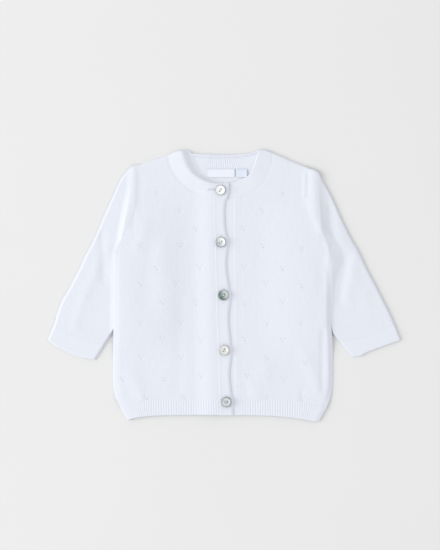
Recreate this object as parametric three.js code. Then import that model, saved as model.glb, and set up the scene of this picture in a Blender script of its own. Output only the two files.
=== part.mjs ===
import * as THREE from 'three';

// A buttoned baby cardigan, laid flat on its back. Millimetres, +Z up, +Y towards the neck.
// Right and left are the wearer's, so the right front lies at negative X.

// Cloth, layers and seams
const WALL = 1.8;
const THIN_WALL = 1.6;
const LAYER_GAP = 0.35;
const SEAM_GAP = 0.45;
const RIB_PITCH = 2.7;
const RIB_HEIGHT = 0.5;
const BAND_RIBS = 6;
const EDGE_ROUNDING = 0.8;

// The second layer lies on the back, and the buttonhole band lies on the button band
const SECOND_LAYER = WALL + LAYER_GAP;
const OVERLAP_LIFT = 2.5;
const OVERLAP_FROM_X = -34;
const OVERLAP_FULL_X = -13;

// Sleeves: flattened tubes, tucked a little under the sides of the body
const SLEEVE_HEIGHT = 4.2;
const SLEEVE_PUFF = 1.5;
const CUFF_HEIGHT = 4.2;
const ROLL_WIDTH = 9;
const ROLL_FALL = 10;
const ROLL_DIP = { from: 0.5, to: 0.9 };
const PUFF_SHARE = 0.62;

// The body's sides rise over the tucked sleeves
const TUCK_LIFT = 5.2;
const TUCK_SLACK = 0.6;
const TUCK_FROM_X = 58;
const TUCK_FULL_X = 86;
const TUCK_TOP = { zero: 118, full: 46 };
const TUCK_BOTTOM = { full: -52, zero: -112 };

// Buttons and labels
const BUTTON_RADIUS = 5.6;
const BUTTON_THICKNESS = 2.2;
const BUTTON_BEVEL = { below: 0.9, above: 0.4 };
const BUTTON_RIM = 1.1;
const BUTTON_DISH = { depth: 0.5, slope: 0.7 };
const BUTTON_SIDES = 16;
const LABEL_THICKNESS = 0.8;
const LABEL = { left: -19.4, right: 11.3, low: 117.5, high: 124.4 };
const SIZE_TAB = { left: 12.0, right: 22.6, low: 118.6, high: 124.4 };
const BUTTONS = [
  { x: -4.5, y: 102.8 },
  { x: -4.1, y: 46.7 },
  { x: -1.3, y: -10.3 },
  { x: -0.5, y: -69.7 },
  { x: 1.9, y: -125.5 },
];

// Seams and free edges of the right half, each a table of points
const SHOULDER_RIGHT = [
  { x: -61.0, y: 140.9 }, { x: -75.1, y: 136.1 }, { x: -85.9, y: 132.3 }, { x: -93.4, y: 129.6 },
];
const ARMHOLE_UNDER_RIGHT = [
  { x: -118.8, y: 36.2 }, { x: -112.3, y: 48.1 }, { x: -105.8, y: 59.9 }, { x: -99.9, y: 72.9 },
];
const ARMHOLE_RIGHT = [
  { x: -99.9, y: 72.9 }, { x: -95.0, y: 86.9 }, { x: -93.6, y: 101.0 }, { x: -93.4, y: 115.0 },
  { x: -93.4, y: 129.6 },
];
const SIDE_RIGHT = [
  { x: -112.3, y: -130.7 }, { x: -118.3, y: -118.3 }, { x: -120.4, y: -104.2 },
  { x: -120.4, y: -80.5 }, { x: -119.9, y: -48.1 }, { x: -119.9, y: 16.7 }, { x: -118.8, y: 36.2 },
];
const HEM_SEAM_RIGHT = [
  { x: -5.9, y: -123.7 }, { x: -35.0, y: -123.7 }, { x: -69.7, y: -123.7 }, { x: -86.9, y: -124.7 },
  { x: -95.6, y: -128.0 }, { x: -104.2, y: -130.7 }, { x: -112.3, y: -130.7 },
];
const HEM_END_RIGHT = [
  { x: -103.7, y: -145.3 }, { x: -107.5, y: -139.9 }, { x: -112.3, y: -130.7 },
];
const HEM_EDGE_RIGHT = [
  { x: -5.4, y: -139.6 }, { x: -53.5, y: -139.9 }, { x: -80.5, y: -140.9 }, { x: -96.7, y: -143.1 },
  { x: -103.7, y: -145.3 },
];
const BAND_SEAM_RIGHT = [
  { x: -5.9, y: -123.7 }, { x: -7.0, y: -85.9 }, { x: -9.2, y: -26.5 }, { x: -10.3, y: 27.5 },
  { x: -11.9, y: 70.7 }, { x: -12.4, y: 94.3 },
];
const BAND_FOOT_RIGHT = [{ x: -5.4, y: -139.6 }, { x: -5.9, y: -123.7 }];
const NECK_SEAM_RIGHT = [
  { x: -12.4, y: 94.3 }, { x: -24.3, y: 97.7 }, { x: -35.1, y: 102.6 }, { x: -45.9, y: 110.7 },
  { x: -54.0, y: 120.4 }, { x: -58.9, y: 130.1 }, { x: -61.0, y: 140.9 },
];
const NECK_SEAM_RIGHT_END = [{ x: 4.9, y: 93.6 }, { x: -4.0, y: 93.7 }, { x: -12.4, y: 94.3 }];
const NECK_EDGE_RIGHT = [
  { x: 5.4, y: 110.7 }, { x: -2.7, y: 109.6 }, { x: -9.2, y: 109.4 }, { x: -17.8, y: 110.2 },
  { x: -26.5, y: 112.9 }, { x: -35.1, y: 118.3 }, { x: -40.5, y: 126.9 }, { x: -43.2, y: 135.5 },
  { x: -45.4, y: 145.8 },
];
const NECK_FOLD_RIGHT = [{ x: -61.0, y: 140.9 }, { x: -53.5, y: 144.6 }, { x: -45.4, y: 145.8 }];
const SLEEVE_TOP_RIGHT = [
  { x: -93.4, y: 129.6 }, { x: -101.0, y: 126.9 }, { x: -106.4, y: 121.0 }, { x: -111.8, y: 113.9 },
  { x: -121.5, y: 92.3 }, { x: -131.2, y: 70.7 }, { x: -140.4, y: 49.1 }, { x: -149.6, y: 31.9 },
  { x: -156.6, y: 16.7 }, { x: -167.9, y: -4.9 }, { x: -174.4, y: -15.7 }, { x: -179.3, y: -28.6 },
  { x: -183.1, y: -41.9 },
];
const SLEEVE_UNDER_RIGHT = [
  { x: -118.8, y: 36.2 }, { x: -121.4, y: 27.5 }, { x: -118.3, y: 18.9 }, { x: -110.7, y: 9.2 },
  { x: -103.1, y: -1.6 }, { x: -99.9, y: -13.5 }, { x: -104.2, y: -27.5 }, { x: -112.9, y: -39.4 },
  { x: -121.5, y: -51.3 }, { x: -129.6, y: -63.7 },
];
const CUFF_SEAM_RIGHT = [
  { x: -183.1, y: -41.9 }, { x: -165.8, y: -52.4 }, { x: -147.4, y: -59.9 }, { x: -129.6, y: -63.7 },
];
const CUFF_EDGE_RIGHT = [
  { x: -190.3, y: -58.9 }, { x: -182.0, y: -65.3 }, { x: -173.3, y: -69.7 }, { x: -156.1, y: -77.2 },
  { x: -139.9, y: -79.9 },
];

// Seams and free edges of the left half, which lies a little narrower than the right
const SHOULDER_LEFT = [
  { x: 50.2, y: 144.2 }, { x: 59.9, y: 140.4 }, { x: 70.7, y: 135.5 }, { x: 81.5, y: 131.2 },
  { x: 91.3, y: 126.9 },
];
const ARMHOLE_UNDER_LEFT = [
  { x: 114.5, y: 34.0 }, { x: 111.2, y: 42.7 }, { x: 105.3, y: 51.3 }, { x: 98.3, y: 61.0 },
  { x: 92.3, y: 71.8 },
];
const ARMHOLE_LEFT = [
  { x: 92.3, y: 71.8 }, { x: 88.6, y: 84.8 }, { x: 87.8, y: 101.0 }, { x: 88.9, y: 113.9 },
  { x: 91.3, y: 126.9 },
];
const SIDE_LEFT = [
  { x: 110.2, y: -131.2 }, { x: 115.0, y: -118.3 }, { x: 117.2, y: -102.1 }, { x: 116.6, y: -64.3 },
  { x: 115.0, y: -37.3 }, { x: 115.0, y: 16.7 }, { x: 114.5, y: 34.0 },
];
const HEM_SEAM_LEFT = [
  { x: 17.8, y: -123.7 }, { x: 44.0, y: -123.7 }, { x: 70.7, y: -123.7 }, { x: 85.9, y: -124.7 },
  { x: 94.5, y: -128.0 }, { x: 103.1, y: -131.2 }, { x: 110.2, y: -131.2 },
];
const HEM_END_LEFT = [
  { x: 101.5, y: -146.9 }, { x: 105.3, y: -139.9 }, { x: 110.2, y: -131.2 },
];
const HEM_EDGE_LEFT = [
  { x: 17.8, y: -139.9 }, { x: 54.5, y: -140.9 }, { x: 81.5, y: -143.9 }, { x: 94.5, y: -146.1 },
  { x: 101.5, y: -146.9 },
];
const BAND_SEAM_LEFT = [
  { x: 17.8, y: -123.7 }, { x: 17.3, y: -15.7 }, { x: 17.3, y: 70.7 }, { x: 17.8, y: 95.6 },
];
const BAND_FOOT_LEFT = [{ x: 17.8, y: -139.9 }, { x: 17.8, y: -123.7 }];
const NECK_SEAM_LEFT = [
  { x: 17.8, y: 95.6 }, { x: 29.7, y: 101.5 }, { x: 38.3, y: 109.6 }, { x: 44.8, y: 118.3 },
  { x: 49.1, y: 128.0 }, { x: 50.8, y: 136.6 }, { x: 50.2, y: 144.2 },
];
const NECK_SEAM_LEFT_END = [{ x: -5.9, y: 93.6 }, { x: 4.9, y: 93.9 }, { x: 17.8, y: 95.6 }];
const NECK_EDGE_LEFT = [
  { x: -5.9, y: 109.1 }, { x: 4.9, y: 110.5 }, { x: 16.7, y: 113.9 }, { x: 25.4, y: 118.3 },
  { x: 29.7, y: 124.7 }, { x: 32.9, y: 132.3 }, { x: 35.1, y: 139.9 }, { x: 36.7, y: 145.8 },
];
const NECK_FOLD_LEFT = [{ x: 50.2, y: 144.2 }, { x: 43.2, y: 146.5 }, { x: 36.7, y: 145.8 }];
const SLEEVE_TOP_LEFT = [
  { x: 91.3, y: 126.9 }, { x: 101.0, y: 122.6 }, { x: 105.3, y: 113.9 }, { x: 111.8, y: 103.1 },
  { x: 117.2, y: 92.3 }, { x: 126.9, y: 70.7 }, { x: 137.7, y: 49.1 }, { x: 144.2, y: 38.3 },
  { x: 154.4, y: 16.7 }, { x: 163.1, y: 0.5 }, { x: 171.2, y: -15.7 }, { x: 177.7, y: -28.6 },
  { x: 183.6, y: -42.1 },
];
const SLEEVE_UNDER_LEFT = [
  { x: 114.5, y: 34.0 }, { x: 117.4, y: 26.5 }, { x: 115.0, y: 18.9 }, { x: 107.5, y: 9.2 },
  { x: 99.9, y: -1.6 }, { x: 96.7, y: -13.5 }, { x: 99.9, y: -24.3 }, { x: 107.5, y: -32.5 },
  { x: 112.9, y: -40.5 }, { x: 117.2, y: -52.4 }, { x: 124.7, y: -61.0 },
];
const CUFF_SEAM_LEFT = [
  { x: 183.6, y: -42.1 }, { x: 163.6, y: -50.2 }, { x: 144.2, y: -57.2 }, { x: 124.7, y: -61.0 },
];
const CUFF_EDGE_LEFT = [
  { x: 190.3, y: -58.9 }, { x: 172.3, y: -65.3 }, { x: 155.0, y: -71.8 }, { x: 146.3, y: -76.1 },
  { x: 137.7, y: -76.7 },
];

// Back neck, from the right shoulder to the left one
const BACK_NECK_SEAM = [
  { x: -61.0, y: 140.9 }, { x: -52.4, y: 135.0 }, { x: -37.3, y: 129.6 }, { x: -18.9, y: 126.9 },
  { x: 0.5, y: 126.4 }, { x: 20.0, y: 127.4 }, { x: 35.1, y: 131.8 }, { x: 44.8, y: 137.7 },
  { x: 50.2, y: 144.2 },
];
const BACK_NECK_EDGE = [
  { x: -45.4, y: 145.8 }, { x: -35.1, y: 143.1 }, { x: -17.8, y: 142.0 }, { x: 0.5, y: 141.5 },
  { x: 16.7, y: 142.0 }, { x: 27.5, y: 143.1 }, { x: 36.7, y: 145.8 },
];

// Free edge of the buttonhole band, which swells round each button, and the button band's hidden edge
const BAND_EDGE = [
  { x: 10.3, y: -139.9 }, { x: 9.2, y: -125.8 }, { x: 5.9, y: -96.7 }, { x: 8.1, y: -75.1 },
  { x: 7.6, y: -64.3 }, { x: 4.9, y: -35.1 }, { x: 7.0, y: -12.4 }, { x: 3.0, y: 14.6 },
  { x: 2.7, y: 29.7 }, { x: 4.9, y: 47.0 }, { x: 1.6, y: 59.9 }, { x: 0.5, y: 79.4 },
  { x: 2.2, y: 93.6 },
];
const BUTTON_BAND_EDGE = [{ x: -4.4, y: -139.7 }, { x: -5.2, y: -70 }, { x: -6.4, y: 20 }, { x: -7.6, y: 93.6 }];
const BUTTON_BAND_TOP = [BUTTON_BAND_EDGE.at(-1), { x: 4.9, y: 93.9 }, BAND_SEAM_LEFT.at(-1)];

// Neckbands are ribbed over part of their length: the rest lies under the other end or at the fold
const NECK_RIBS_LEFT = { from: 0.11, to: 1 };
const NECK_RIBS_BACK = { from: 0.25, to: 0.74 };

// Where each kind of piece has its grid lines, as shares of its width or length
const FRONT_COLUMNS = [0, 0.08, 0.16, 0.27, 0.4, 0.52, 0.62, 0.71, 0.79, 0.86, 0.92, 0.97, 1];
const HEM_ROWS = [0, 0.08, 0.94, 1];
const NECKBAND_ROWS = [0, 0.1, 0.9, 1];
const BAND_ROWS = 11;
const SLEEVE_COLUMNS = [0, 0.03, 0.09, 0.2, 0.33, 0.46, 0.62, 0.76, 0.88, 0.96, 1];
const SLEEVE_ROWS = [0, 0.04, 0.08, 0.13, 0.19, 0.26, 0.34, 0.42, 0.51, 0.6, 0.7, 0.8, 0.9, 1];
const CUFF_ROWS = [0, 0.08, 0.92, 1];
const CUFF_COLUMNS_BELOW = [0, 0.04, 0.2, 0.4, 0.6, 0.8, 0.96, 1];

// Largest soft folds of the top layer: a ridge from one point to the other
const FOLDS = [
  { x1: -86, y1: 118, x2: -88, y2: 88, width: 7, height: 0.9 },
  { x1: -86, y1: 64, x2: -92, y2: 40, width: 8, height: 0.7 },
  { x1: 82, y1: 118, x2: 80, y2: 90, width: 7, height: 0.9 },
  { x1: -66, y1: 36, x2: -60, y2: -28, width: 13, height: 0.8 },
  { x1: 88, y1: -78, x2: 102, y2: -112, width: 8, height: 0.9 },
  { x1: 44, y1: -92, x2: 38, y2: -118, width: 9, height: 0.7 },
  { x1: -100, y1: -96, x2: -88, y2: -120, width: 8, height: 0.8 },
  { x1: -129, y1: 38, x2: -150, y2: -10, width: 7, height: 0.7 },
  { x1: -153, y1: -16, x2: -161, y2: -42, width: 6, height: 0.6 },
  { x1: 135, y1: 20, x2: 151, y2: -14, width: 7, height: 0.9 },
  { x1: 122, y1: 64, x2: 131, y2: 40, width: 5, height: 0.6 },
];

const knit = new THREE.MeshStandardMaterial({ color: 0xe9eef6, roughness: 0.95, metalness: 0 });
const ribbing = new THREE.MeshStandardMaterial({ color: 0xe6ebf4, roughness: 0.95, metalness: 0 });
const shell = new THREE.MeshStandardMaterial({ color: 0xb9bcc0, roughness: 0.25, metalness: 0 });
const woven = new THREE.MeshStandardMaterial({ color: 0xf2f4f8, roughness: 0.7, metalness: 0 });
const wovenBlue = new THREE.MeshStandardMaterial({ color: 0xbfd0ea, roughness: 0.7, metalness: 0 });

const smooth = (t) => THREE.MathUtils.smoothstep(t, 0, 1);
const reversed = (rows) => [...rows].reverse();

// A smooth edge through one or more tables, read along its length from 0 to 1.
const EDGE_STEPS = 12;
function edge(...tables) {
  const points = tables.flatMap((rows) => {
    const curve = new THREE.SplineCurve(rows.map(({ x, y }) => new THREE.Vector2(x, y)));
    return curve.getPoints((rows.length - 1) * EDGE_STEPS);
  });
  const lengths = [0];
  for (let i = 1; i < points.length; i += 1) {
    lengths.push(lengths[i - 1] + points[i].distanceTo(points[i - 1]));
  }
  const length = lengths.at(-1);
  const at = (t) => {
    const target = THREE.MathUtils.clamp(t, 0, 1) * length;
    let i = 1;
    while (i < lengths.length - 1 && lengths[i] < target) i += 1;
    const part = lengths[i] - lengths[i - 1] || 1;
    return points[i - 1].clone().lerp(points[i], (target - lengths[i - 1]) / part);
  };
  return { at, length };
}

// The plan of a piece, blended from its four edges. u runs from start to end, v from low to high.
// The piece stops half a seam gap inside each edge.
function planOf({ low, high, start, end }) {
  const blend = (u, v) => {
    const across = start.at(v).multiplyScalar(1 - u).addScaledVector(end.at(v), u);
    const along = low.at(u).multiplyScalar(1 - v).addScaledVector(high.at(u), v);
    const corners = low.at(0).multiplyScalar((1 - u) * (1 - v))
      .addScaledVector(low.at(1), u * (1 - v))
      .addScaledVector(high.at(0), (1 - u) * v)
      .addScaledVector(high.at(1), u * v);
    return across.add(along).sub(corners);
  };
  return (u, v) => {
    const marginU = SEAM_GAP / 2 / blend(0, v).distanceTo(blend(1, v));
    const marginV = SEAM_GAP / 2 / blend(u, 0).distanceTo(blend(u, 1));
    return blend(marginU + (1 - 2 * marginU) * u, marginV + (1 - 2 * marginV) * v);
  };
}

// Stations from 0 to 1: even ones, and finer ones between two values.
const even = (count) => Array.from({ length: count + 1 }, (_, i) => i / count);
function stations(...stretches) {
  const list = [0];
  for (const { to, steps } of stretches) {
    const from = list.at(-1);
    for (let i = 1; i <= steps; i += 1) list.push(from + ((to - from) * i) / steps);
  }
  return list;
}

function meshOf(name, positions, faces, material) {
  const geometry = new THREE.BufferGeometry();
  geometry.setAttribute('position', new THREE.Float32BufferAttribute(positions, 3));
  geometry.setIndex(faces);
  geometry.computeVertexNormals();
  const mesh = new THREE.Mesh(geometry, material);
  mesh.name = name;
  return mesh;
}

// A layer of cloth: a grid of top points, and below it a grid or, where plainBelow is set, one strip.
function layer(name, { plan, us, vs, bottom, top, material, plainBelow = false }) {
  const positions = [];
  const faces = [];
  const columns = us.length;
  const rows = vs.length;
  const lowRows = plainBelow ? [vs[0], vs.at(-1)] : vs;
  const add = (u, v, height) => {
    const { x, y } = plan(u, v);
    positions.push(x, y, height(x, y, u, v));
  };
  for (const v of vs) for (const u of us) add(u, v, top);
  for (const v of lowRows) for (const u of us) add(u, v, bottom);
  const first = plan(0, 0.5);
  const turn = plan(1, 0.5).sub(first).cross(plan(0.5, 1).sub(plan(0.5, 0))) > 0;
  const face = (a, b, c) => faces.push(...(turn ? [a, b, c] : [a, c, b]));
  const upper = (i, j) => j * columns + i;
  const lower = (i, j) => (rows + j) * columns + i;
  for (let j = 0; j < rows - 1; j += 1) {
    for (let i = 0; i < columns - 1; i += 1) {
      face(upper(i, j), upper(i + 1, j), upper(i + 1, j + 1));
      face(upper(i, j), upper(i + 1, j + 1), upper(i, j + 1));
    }
  }
  const last = lowRows.length - 1;
  for (let j = 0; j < last; j += 1) {
    for (let i = 0; i < columns - 1; i += 1) {
      face(lower(i, j), lower(i + 1, j + 1), lower(i + 1, j));
      face(lower(i, j), lower(i, j + 1), lower(i + 1, j + 1));
    }
  }
  for (let i = 0; i < columns - 1; i += 1) {
    face(lower(i, 0), lower(i + 1, 0), upper(i + 1, 0));
    face(lower(i, 0), upper(i + 1, 0), upper(i, 0));
    face(upper(i, rows - 1), upper(i + 1, rows - 1), lower(i + 1, last));
    face(upper(i, rows - 1), lower(i + 1, last), lower(i, last));
  }
  const side = columns - 1;
  for (let j = 0; j < rows - 1; j += 1) {
    const low = plainBelow ? 0 : j;
    face(lower(0, low), upper(0, j), upper(0, j + 1));
    face(lower(side, low), upper(side, j + 1), upper(side, j));
    if (!plainBelow) {
      face(lower(0, j), upper(0, j + 1), lower(0, j + 1));
      face(lower(side, j), lower(side, j + 1), upper(side, j + 1));
    }
  }
  if (plainBelow) {
    face(lower(0, 0), upper(0, rows - 1), lower(0, 1));
    face(lower(side, 0), lower(side, 1), upper(side, rows - 1));
  }
  return meshOf(name, positions, faces, material);
}

// A flattened tube, open at both ends. Its rings cross it over ts and back under it over tsBelow,
// and they follow each other along v. Inside, the rings stand at the stations of vsInside.
function tube(name, { plan, vs, vsInside, ts, tsBelow, base, height, relief, material }) {
  const positions = [];
  const faces = [];
  const above = ts.map((t) => ({ t, up: 1 }));
  const ring = [...above, ...reversed(tsBelow).slice(1, -1).map((t) => ({ t, up: -1 }))];
  const count = ring.length;
  for (const wall of [0, THIN_WALL]) {
    for (const v of wall === 0 ? vs : vsInside) {
      const width = plan(0, v).distanceTo(plan(1, v));
      for (const { t, up } of ring) {
        const inset = (wall + SEAM_GAP / 2) / width;
        const { x, y } = plan(inset + (1 - 2 * inset) * t, v);
        const half = height(t, v) / 2;
        const round = Math.sqrt(1 - (1 - Math.min(1, (Math.min(t, 1 - t) * width) / half)) ** 2);
        const reach = up * (half - wall) * round;
        const raised = up > 0 && wall === 0 ? relief(t, v, x, y) : 0;
        positions.push(x, y, base(x, y) + half + reach + raised);
      }
    }
  }
  const turn = plan(1, 0.5).sub(plan(0, 0.5)).cross(plan(0.5, 1).sub(plan(0.5, 0))) > 0;
  const face = (a, b, c) => faces.push(...(turn ? [a, b, c] : [a, c, b]));
  const outer = (j, i) => j * count + (i % count);
  const inner = (j, i) => (vs.length + j) * count + (i % count);
  const last = vs.length - 1;
  const lastInside = vsInside.length - 1;
  for (let i = 0; i < count; i += 1) {
    for (let j = 0; j < last; j += 1) {
      face(outer(j, i), outer(j, i + 1), outer(j + 1, i + 1));
      face(outer(j, i), outer(j + 1, i + 1), outer(j + 1, i));
    }
    for (let j = 0; j < lastInside; j += 1) {
      face(inner(j, i), inner(j + 1, i + 1), inner(j, i + 1));
      face(inner(j, i), inner(j + 1, i), inner(j + 1, i + 1));
    }
    face(outer(0, i), inner(0, i + 1), outer(0, i + 1));
    face(outer(0, i), inner(0, i), inner(0, i + 1));
    face(outer(last, i), outer(last, i + 1), inner(lastInside, i + 1));
    face(outer(last, i), inner(lastInside, i + 1), inner(lastInside, i));
  }
  return meshOf(name, positions, faces, material);
}

// How far the body lies above the table, over the tucked sleeves.
const tuckShare = (y) => smooth((TUCK_TOP.zero - y) / (TUCK_TOP.zero - TUCK_TOP.full));
function tuckLift(x, y) {
  const over = smooth((Math.abs(x) - TUCK_FROM_X) / (TUCK_FULL_X - TUCK_FROM_X));
  const below = smooth((y - TUCK_BOTTOM.zero) / (TUCK_BOTTOM.full - TUCK_BOTTOM.zero));
  return TUCK_LIFT * over * tuckShare(y) * below;
}
// The layers part a little where the body climbs on to a sleeve.
function slack(x, y) {
  const climbed = tuckLift(x, y) / TUCK_LIFT;
  return TUCK_SLACK * 4 * climbed * (1 - climbed);
}
const overlapLift = (x) => OVERLAP_LIFT * smooth((x - OVERLAP_FROM_X) / (OVERLAP_FULL_X - OVERLAP_FROM_X));

function foldHeight(x, y) {
  let height = 0;
  for (const fold of FOLDS) {
    const dx = fold.x2 - fold.x1;
    const dy = fold.y2 - fold.y1;
    const along = ((x - fold.x1) * dx + (y - fold.y1) * dy) / (dx * dx + dy * dy);
    const t = THREE.MathUtils.clamp(along, 0, 1);
    const away = Math.hypot(x - fold.x1 - t * dx, y - fold.y1 - t * dy);
    height += fold.height * Math.exp(-((away / fold.width) ** 2));
  }
  return height;
}

// Stations across ribbing of this length: plain up to from, then a crest on every second one.
const PLAIN_STEPS = 5;
function ribStations(length, { from = 0, to = 1 } = {}) {
  const steps = 2 * Math.round((length * (to - from)) / RIB_PITCH);
  const before = from > 0 ? [{ to: from, steps: PLAIN_STEPS }] : [];
  const after = to < 1 ? [{ to: 1, steps: PLAIN_STEPS }] : [];
  return stations(...before, { to, steps }, ...after);
}
function ribAt(stationList, value, { from = 0, to = 1 } = {}) {
  const crest = stationList.indexOf(value) % 2 === 1;
  return crest && value > from && value < to ? RIB_HEIGHT : 0;
}

function back() {
  const shoulders = [edge(SHOULDER_RIGHT).length, edge(SHOULDER_LEFT).length];
  const across = shoulders[0] + edge(BACK_NECK_SEAM).length + shoulders[1];
  const neckFrom = shoulders[0] / across;
  const neckTo = 1 - shoulders[1] / across;
  const plan = planOf({
    low: edge(reversed(HEM_SEAM_RIGHT), HEM_SEAM_LEFT),
    high: edge(reversed(SHOULDER_RIGHT), BACK_NECK_SEAM, SHOULDER_LEFT),
    start: edge(SIDE_RIGHT, ARMHOLE_UNDER_RIGHT, ARMHOLE_RIGHT),
    end: edge(SIDE_LEFT, ARMHOLE_UNDER_LEFT, ARMHOLE_LEFT),
  });
  return layer('back', {
    plan,
    us: stations({ to: neckFrom, steps: 6 }, { to: neckTo, steps: 14 }, { to: 1, steps: 6 }),
    vs: stations({ to: 0.1, steps: 1 }, { to: 0.6, steps: 8 }, { to: 0.95, steps: 9 }, { to: 1, steps: 1 }),
    bottom: tuckLift,
    top: (x, y) => tuckLift(x, y) + WALL,
    material: knit,
  });
}

function front(name, { low, high, start, end, raise }) {
  const bottom = (x, y) => tuckLift(x, y) + slack(x, y) + SECOND_LAYER + raise(x) + foldHeight(x, y);
  return layer(name, {
    plan: planOf({ low: edge(low), high: edge(high), start: edge(...start), end: edge(...end) }),
    us: FRONT_COLUMNS,
    vs: stations({ to: 0.1, steps: 1 }, { to: 0.6, steps: 8 }, { to: 0.75, steps: 4 }, { to: 1, steps: 8 }),
    bottom,
    top: (x, y, u) => bottom(x, y) + WALL - (u === 1 ? EDGE_ROUNDING : 0),
    material: knit,
  });
}

function hemRib(name, { low, high, start, end, raise }) {
  const us = ribStations(edge(high).length);
  const floor = (x) => SECOND_LAYER + raise(x);
  return layer(name, {
    plan: planOf({ low: edge(low), high: edge(high), start: edge(start), end: edge(end) }),
    us,
    vs: HEM_ROWS,
    bottom: floor,
    top: (x, y, u, v) => floor(x) + THIN_WALL + (v > 0 && v < 1 ? ribAt(us, u) : 0),
    material: ribbing,
    plainBelow: true,
  });
}

function hemRibBack() {
  return layer('hem_rib_back', {
    plan: planOf({
      low: edge(reversed(HEM_EDGE_RIGHT), HEM_EDGE_LEFT),
      high: edge(reversed(HEM_SEAM_RIGHT), HEM_SEAM_LEFT),
      start: edge(HEM_END_RIGHT),
      end: edge(HEM_END_LEFT),
    }),
    us: stations({ to: 0.2, steps: 6 }, { to: 0.8, steps: 5 }, { to: 1, steps: 6 }),
    vs: [0, 1],
    bottom: () => 0,
    top: () => WALL,
    material: ribbing,
  });
}

// The neckband's u runs along the neck, and v from the seam to the free edge.
function neckband(name, { seam, free, start, end, floor, ribbed = { from: 0, to: 1 } }) {
  const low = edge(...seam);
  const us = ribStations(low.length, ribbed);
  return layer(name, {
    plan: planOf({ low, high: edge(free), start: edge(start), end: edge(end) }),
    us,
    vs: NECKBAND_ROWS,
    bottom: floor,
    top: (x, y, u, v) => floor(x) + THIN_WALL + (v > 0 && v < 1 ? ribAt(us, u, ribbed) : 0),
    material: ribbing,
    plainBelow: true,
  });
}

// A front band has its ribs lengthwise: u crosses it and v climbs from the hem to the neckband.
function frontBand(name, { low, high, start, end, floor }) {
  const us = even(2 * BAND_RIBS);
  return layer(name, {
    plan: planOf({ low: edge(low), high: edge(high), start: edge(...start), end: edge(...end) }),
    us,
    vs: even(BAND_ROWS),
    bottom: () => floor,
    top: (x, y, u) => floor + THIN_WALL + ribAt(us, u),
    material: ribbing,
  });
}

// Where a point lies by a seam: its distance from it, and the share of the seam passed.
const SEAM_CHECKS = 48;
function besideSeam(seam) {
  const marks = even(SEAM_CHECKS).map((share) => ({ share, point: seam.at(share) }));
  return (x, y) => {
    const away = ({ point }) => Math.hypot(point.x - x, point.y - y);
    const nearest = marks.reduce((best, mark) => (away(mark) < away(best) ? mark : best));
    return { distance: away(nearest), share: nearest.share, y: nearest.point.y };
  };
}

// A sleeve's t crosses it from the upper edge to the edge under the arm, and v runs to the cuff.
// Its cloth starts at the level of the raised body and rolls down to the table beside the armhole.
function sleeve(name, { top, under, armhole, armholeUnder, cuffSeam }) {
  const beside = besideSeam(edge(armhole, armholeUnder));
  const base = (x, y) => {
    const near = beside(x, y);
    const width = ROLL_WIDTH * (1 - near.share ** 4);
    const fall = 1 - smooth((near.distance - width) / ROLL_FALL);
    const dip = 1 - smooth((near.share - ROLL_DIP.from) / (ROLL_DIP.to - ROLL_DIP.from));
    return TUCK_LIFT * tuckShare(near.y) * fall * dip;
  };
  const puff = (t, v) => SLEEVE_PUFF * Math.sin(Math.PI * Math.min(1, t / PUFF_SHARE)) * Math.sin(Math.PI * v);
  return tube(name, {
    plan: planOf({
      low: edge(armhole),
      high: edge(cuffSeam),
      start: edge(top),
      end: edge(armholeUnder, under),
    }),
    ts: SLEEVE_COLUMNS,
    tsBelow: SLEEVE_COLUMNS,
    vs: SLEEVE_ROWS,
    vsInside: SLEEVE_ROWS,
    base,
    height: (t, v) => SLEEVE_HEIGHT + (t < PUFF_SHARE ? puff(t, v) : 0),
    relief: (t, v, x, y) => (t > 0 && t < 1 ? foldHeight(x, y) : 0),
    material: knit,
  });
}

function cuff(name, { upperSeam, lowerEdge, outerSide, innerSide }) {
  const low = edge(upperSeam);
  const ribs = ribStations(low.length);
  return tube(name, {
    plan: planOf({ low, high: edge(lowerEdge), start: edge(outerSide), end: edge(innerSide) }),
    ts: ribs,
    tsBelow: CUFF_COLUMNS_BELOW,
    vs: CUFF_ROWS,
    vsInside: [0, 1],
    base: () => 0,
    height: () => CUFF_HEIGHT,
    relief: (t, v) => (v > 0 && v < 1 && t > 0 && t < 1 ? ribAt(ribs, t) : 0),
    material: ribbing,
  });
}

// A shell button: a dished disc with a raised rim, turned about its own axis.
function button(name, { x, y }) {
  const dished = BUTTON_THICKNESS - BUTTON_DISH.depth;
  const rimInside = BUTTON_RADIUS - BUTTON_RIM;
  const profile = [
    new THREE.Vector2(0, 0),
    new THREE.Vector2(BUTTON_RADIUS - BUTTON_BEVEL.below, 0),
    new THREE.Vector2(BUTTON_RADIUS, BUTTON_BEVEL.below),
    new THREE.Vector2(BUTTON_RADIUS - BUTTON_BEVEL.above, BUTTON_THICKNESS),
    new THREE.Vector2(rimInside, BUTTON_THICKNESS),
    new THREE.Vector2(rimInside - BUTTON_DISH.slope, dished),
    new THREE.Vector2(0, dished),
  ];
  const geometry = new THREE.LatheGeometry(profile, BUTTON_SIDES);
  const mesh = new THREE.Mesh(geometry, shell);
  mesh.name = name;
  mesh.rotation.x = Math.PI / 2;
  mesh.position.set(x, y, SECOND_LAYER + OVERLAP_LIFT + THIN_WALL + RIB_HEIGHT + LAYER_GAP);
  return mesh;
}

function tag(name, { left, right, low, high }, material) {
  const geometry = new THREE.BoxGeometry(right - left, high - low, LABEL_THICKNESS);
  const mesh = new THREE.Mesh(geometry, material);
  mesh.name = name;
  mesh.position.set((left + right) / 2, (low + high) / 2, WALL + LAYER_GAP + LABEL_THICKNESS / 2);
  return mesh;
}

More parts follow.
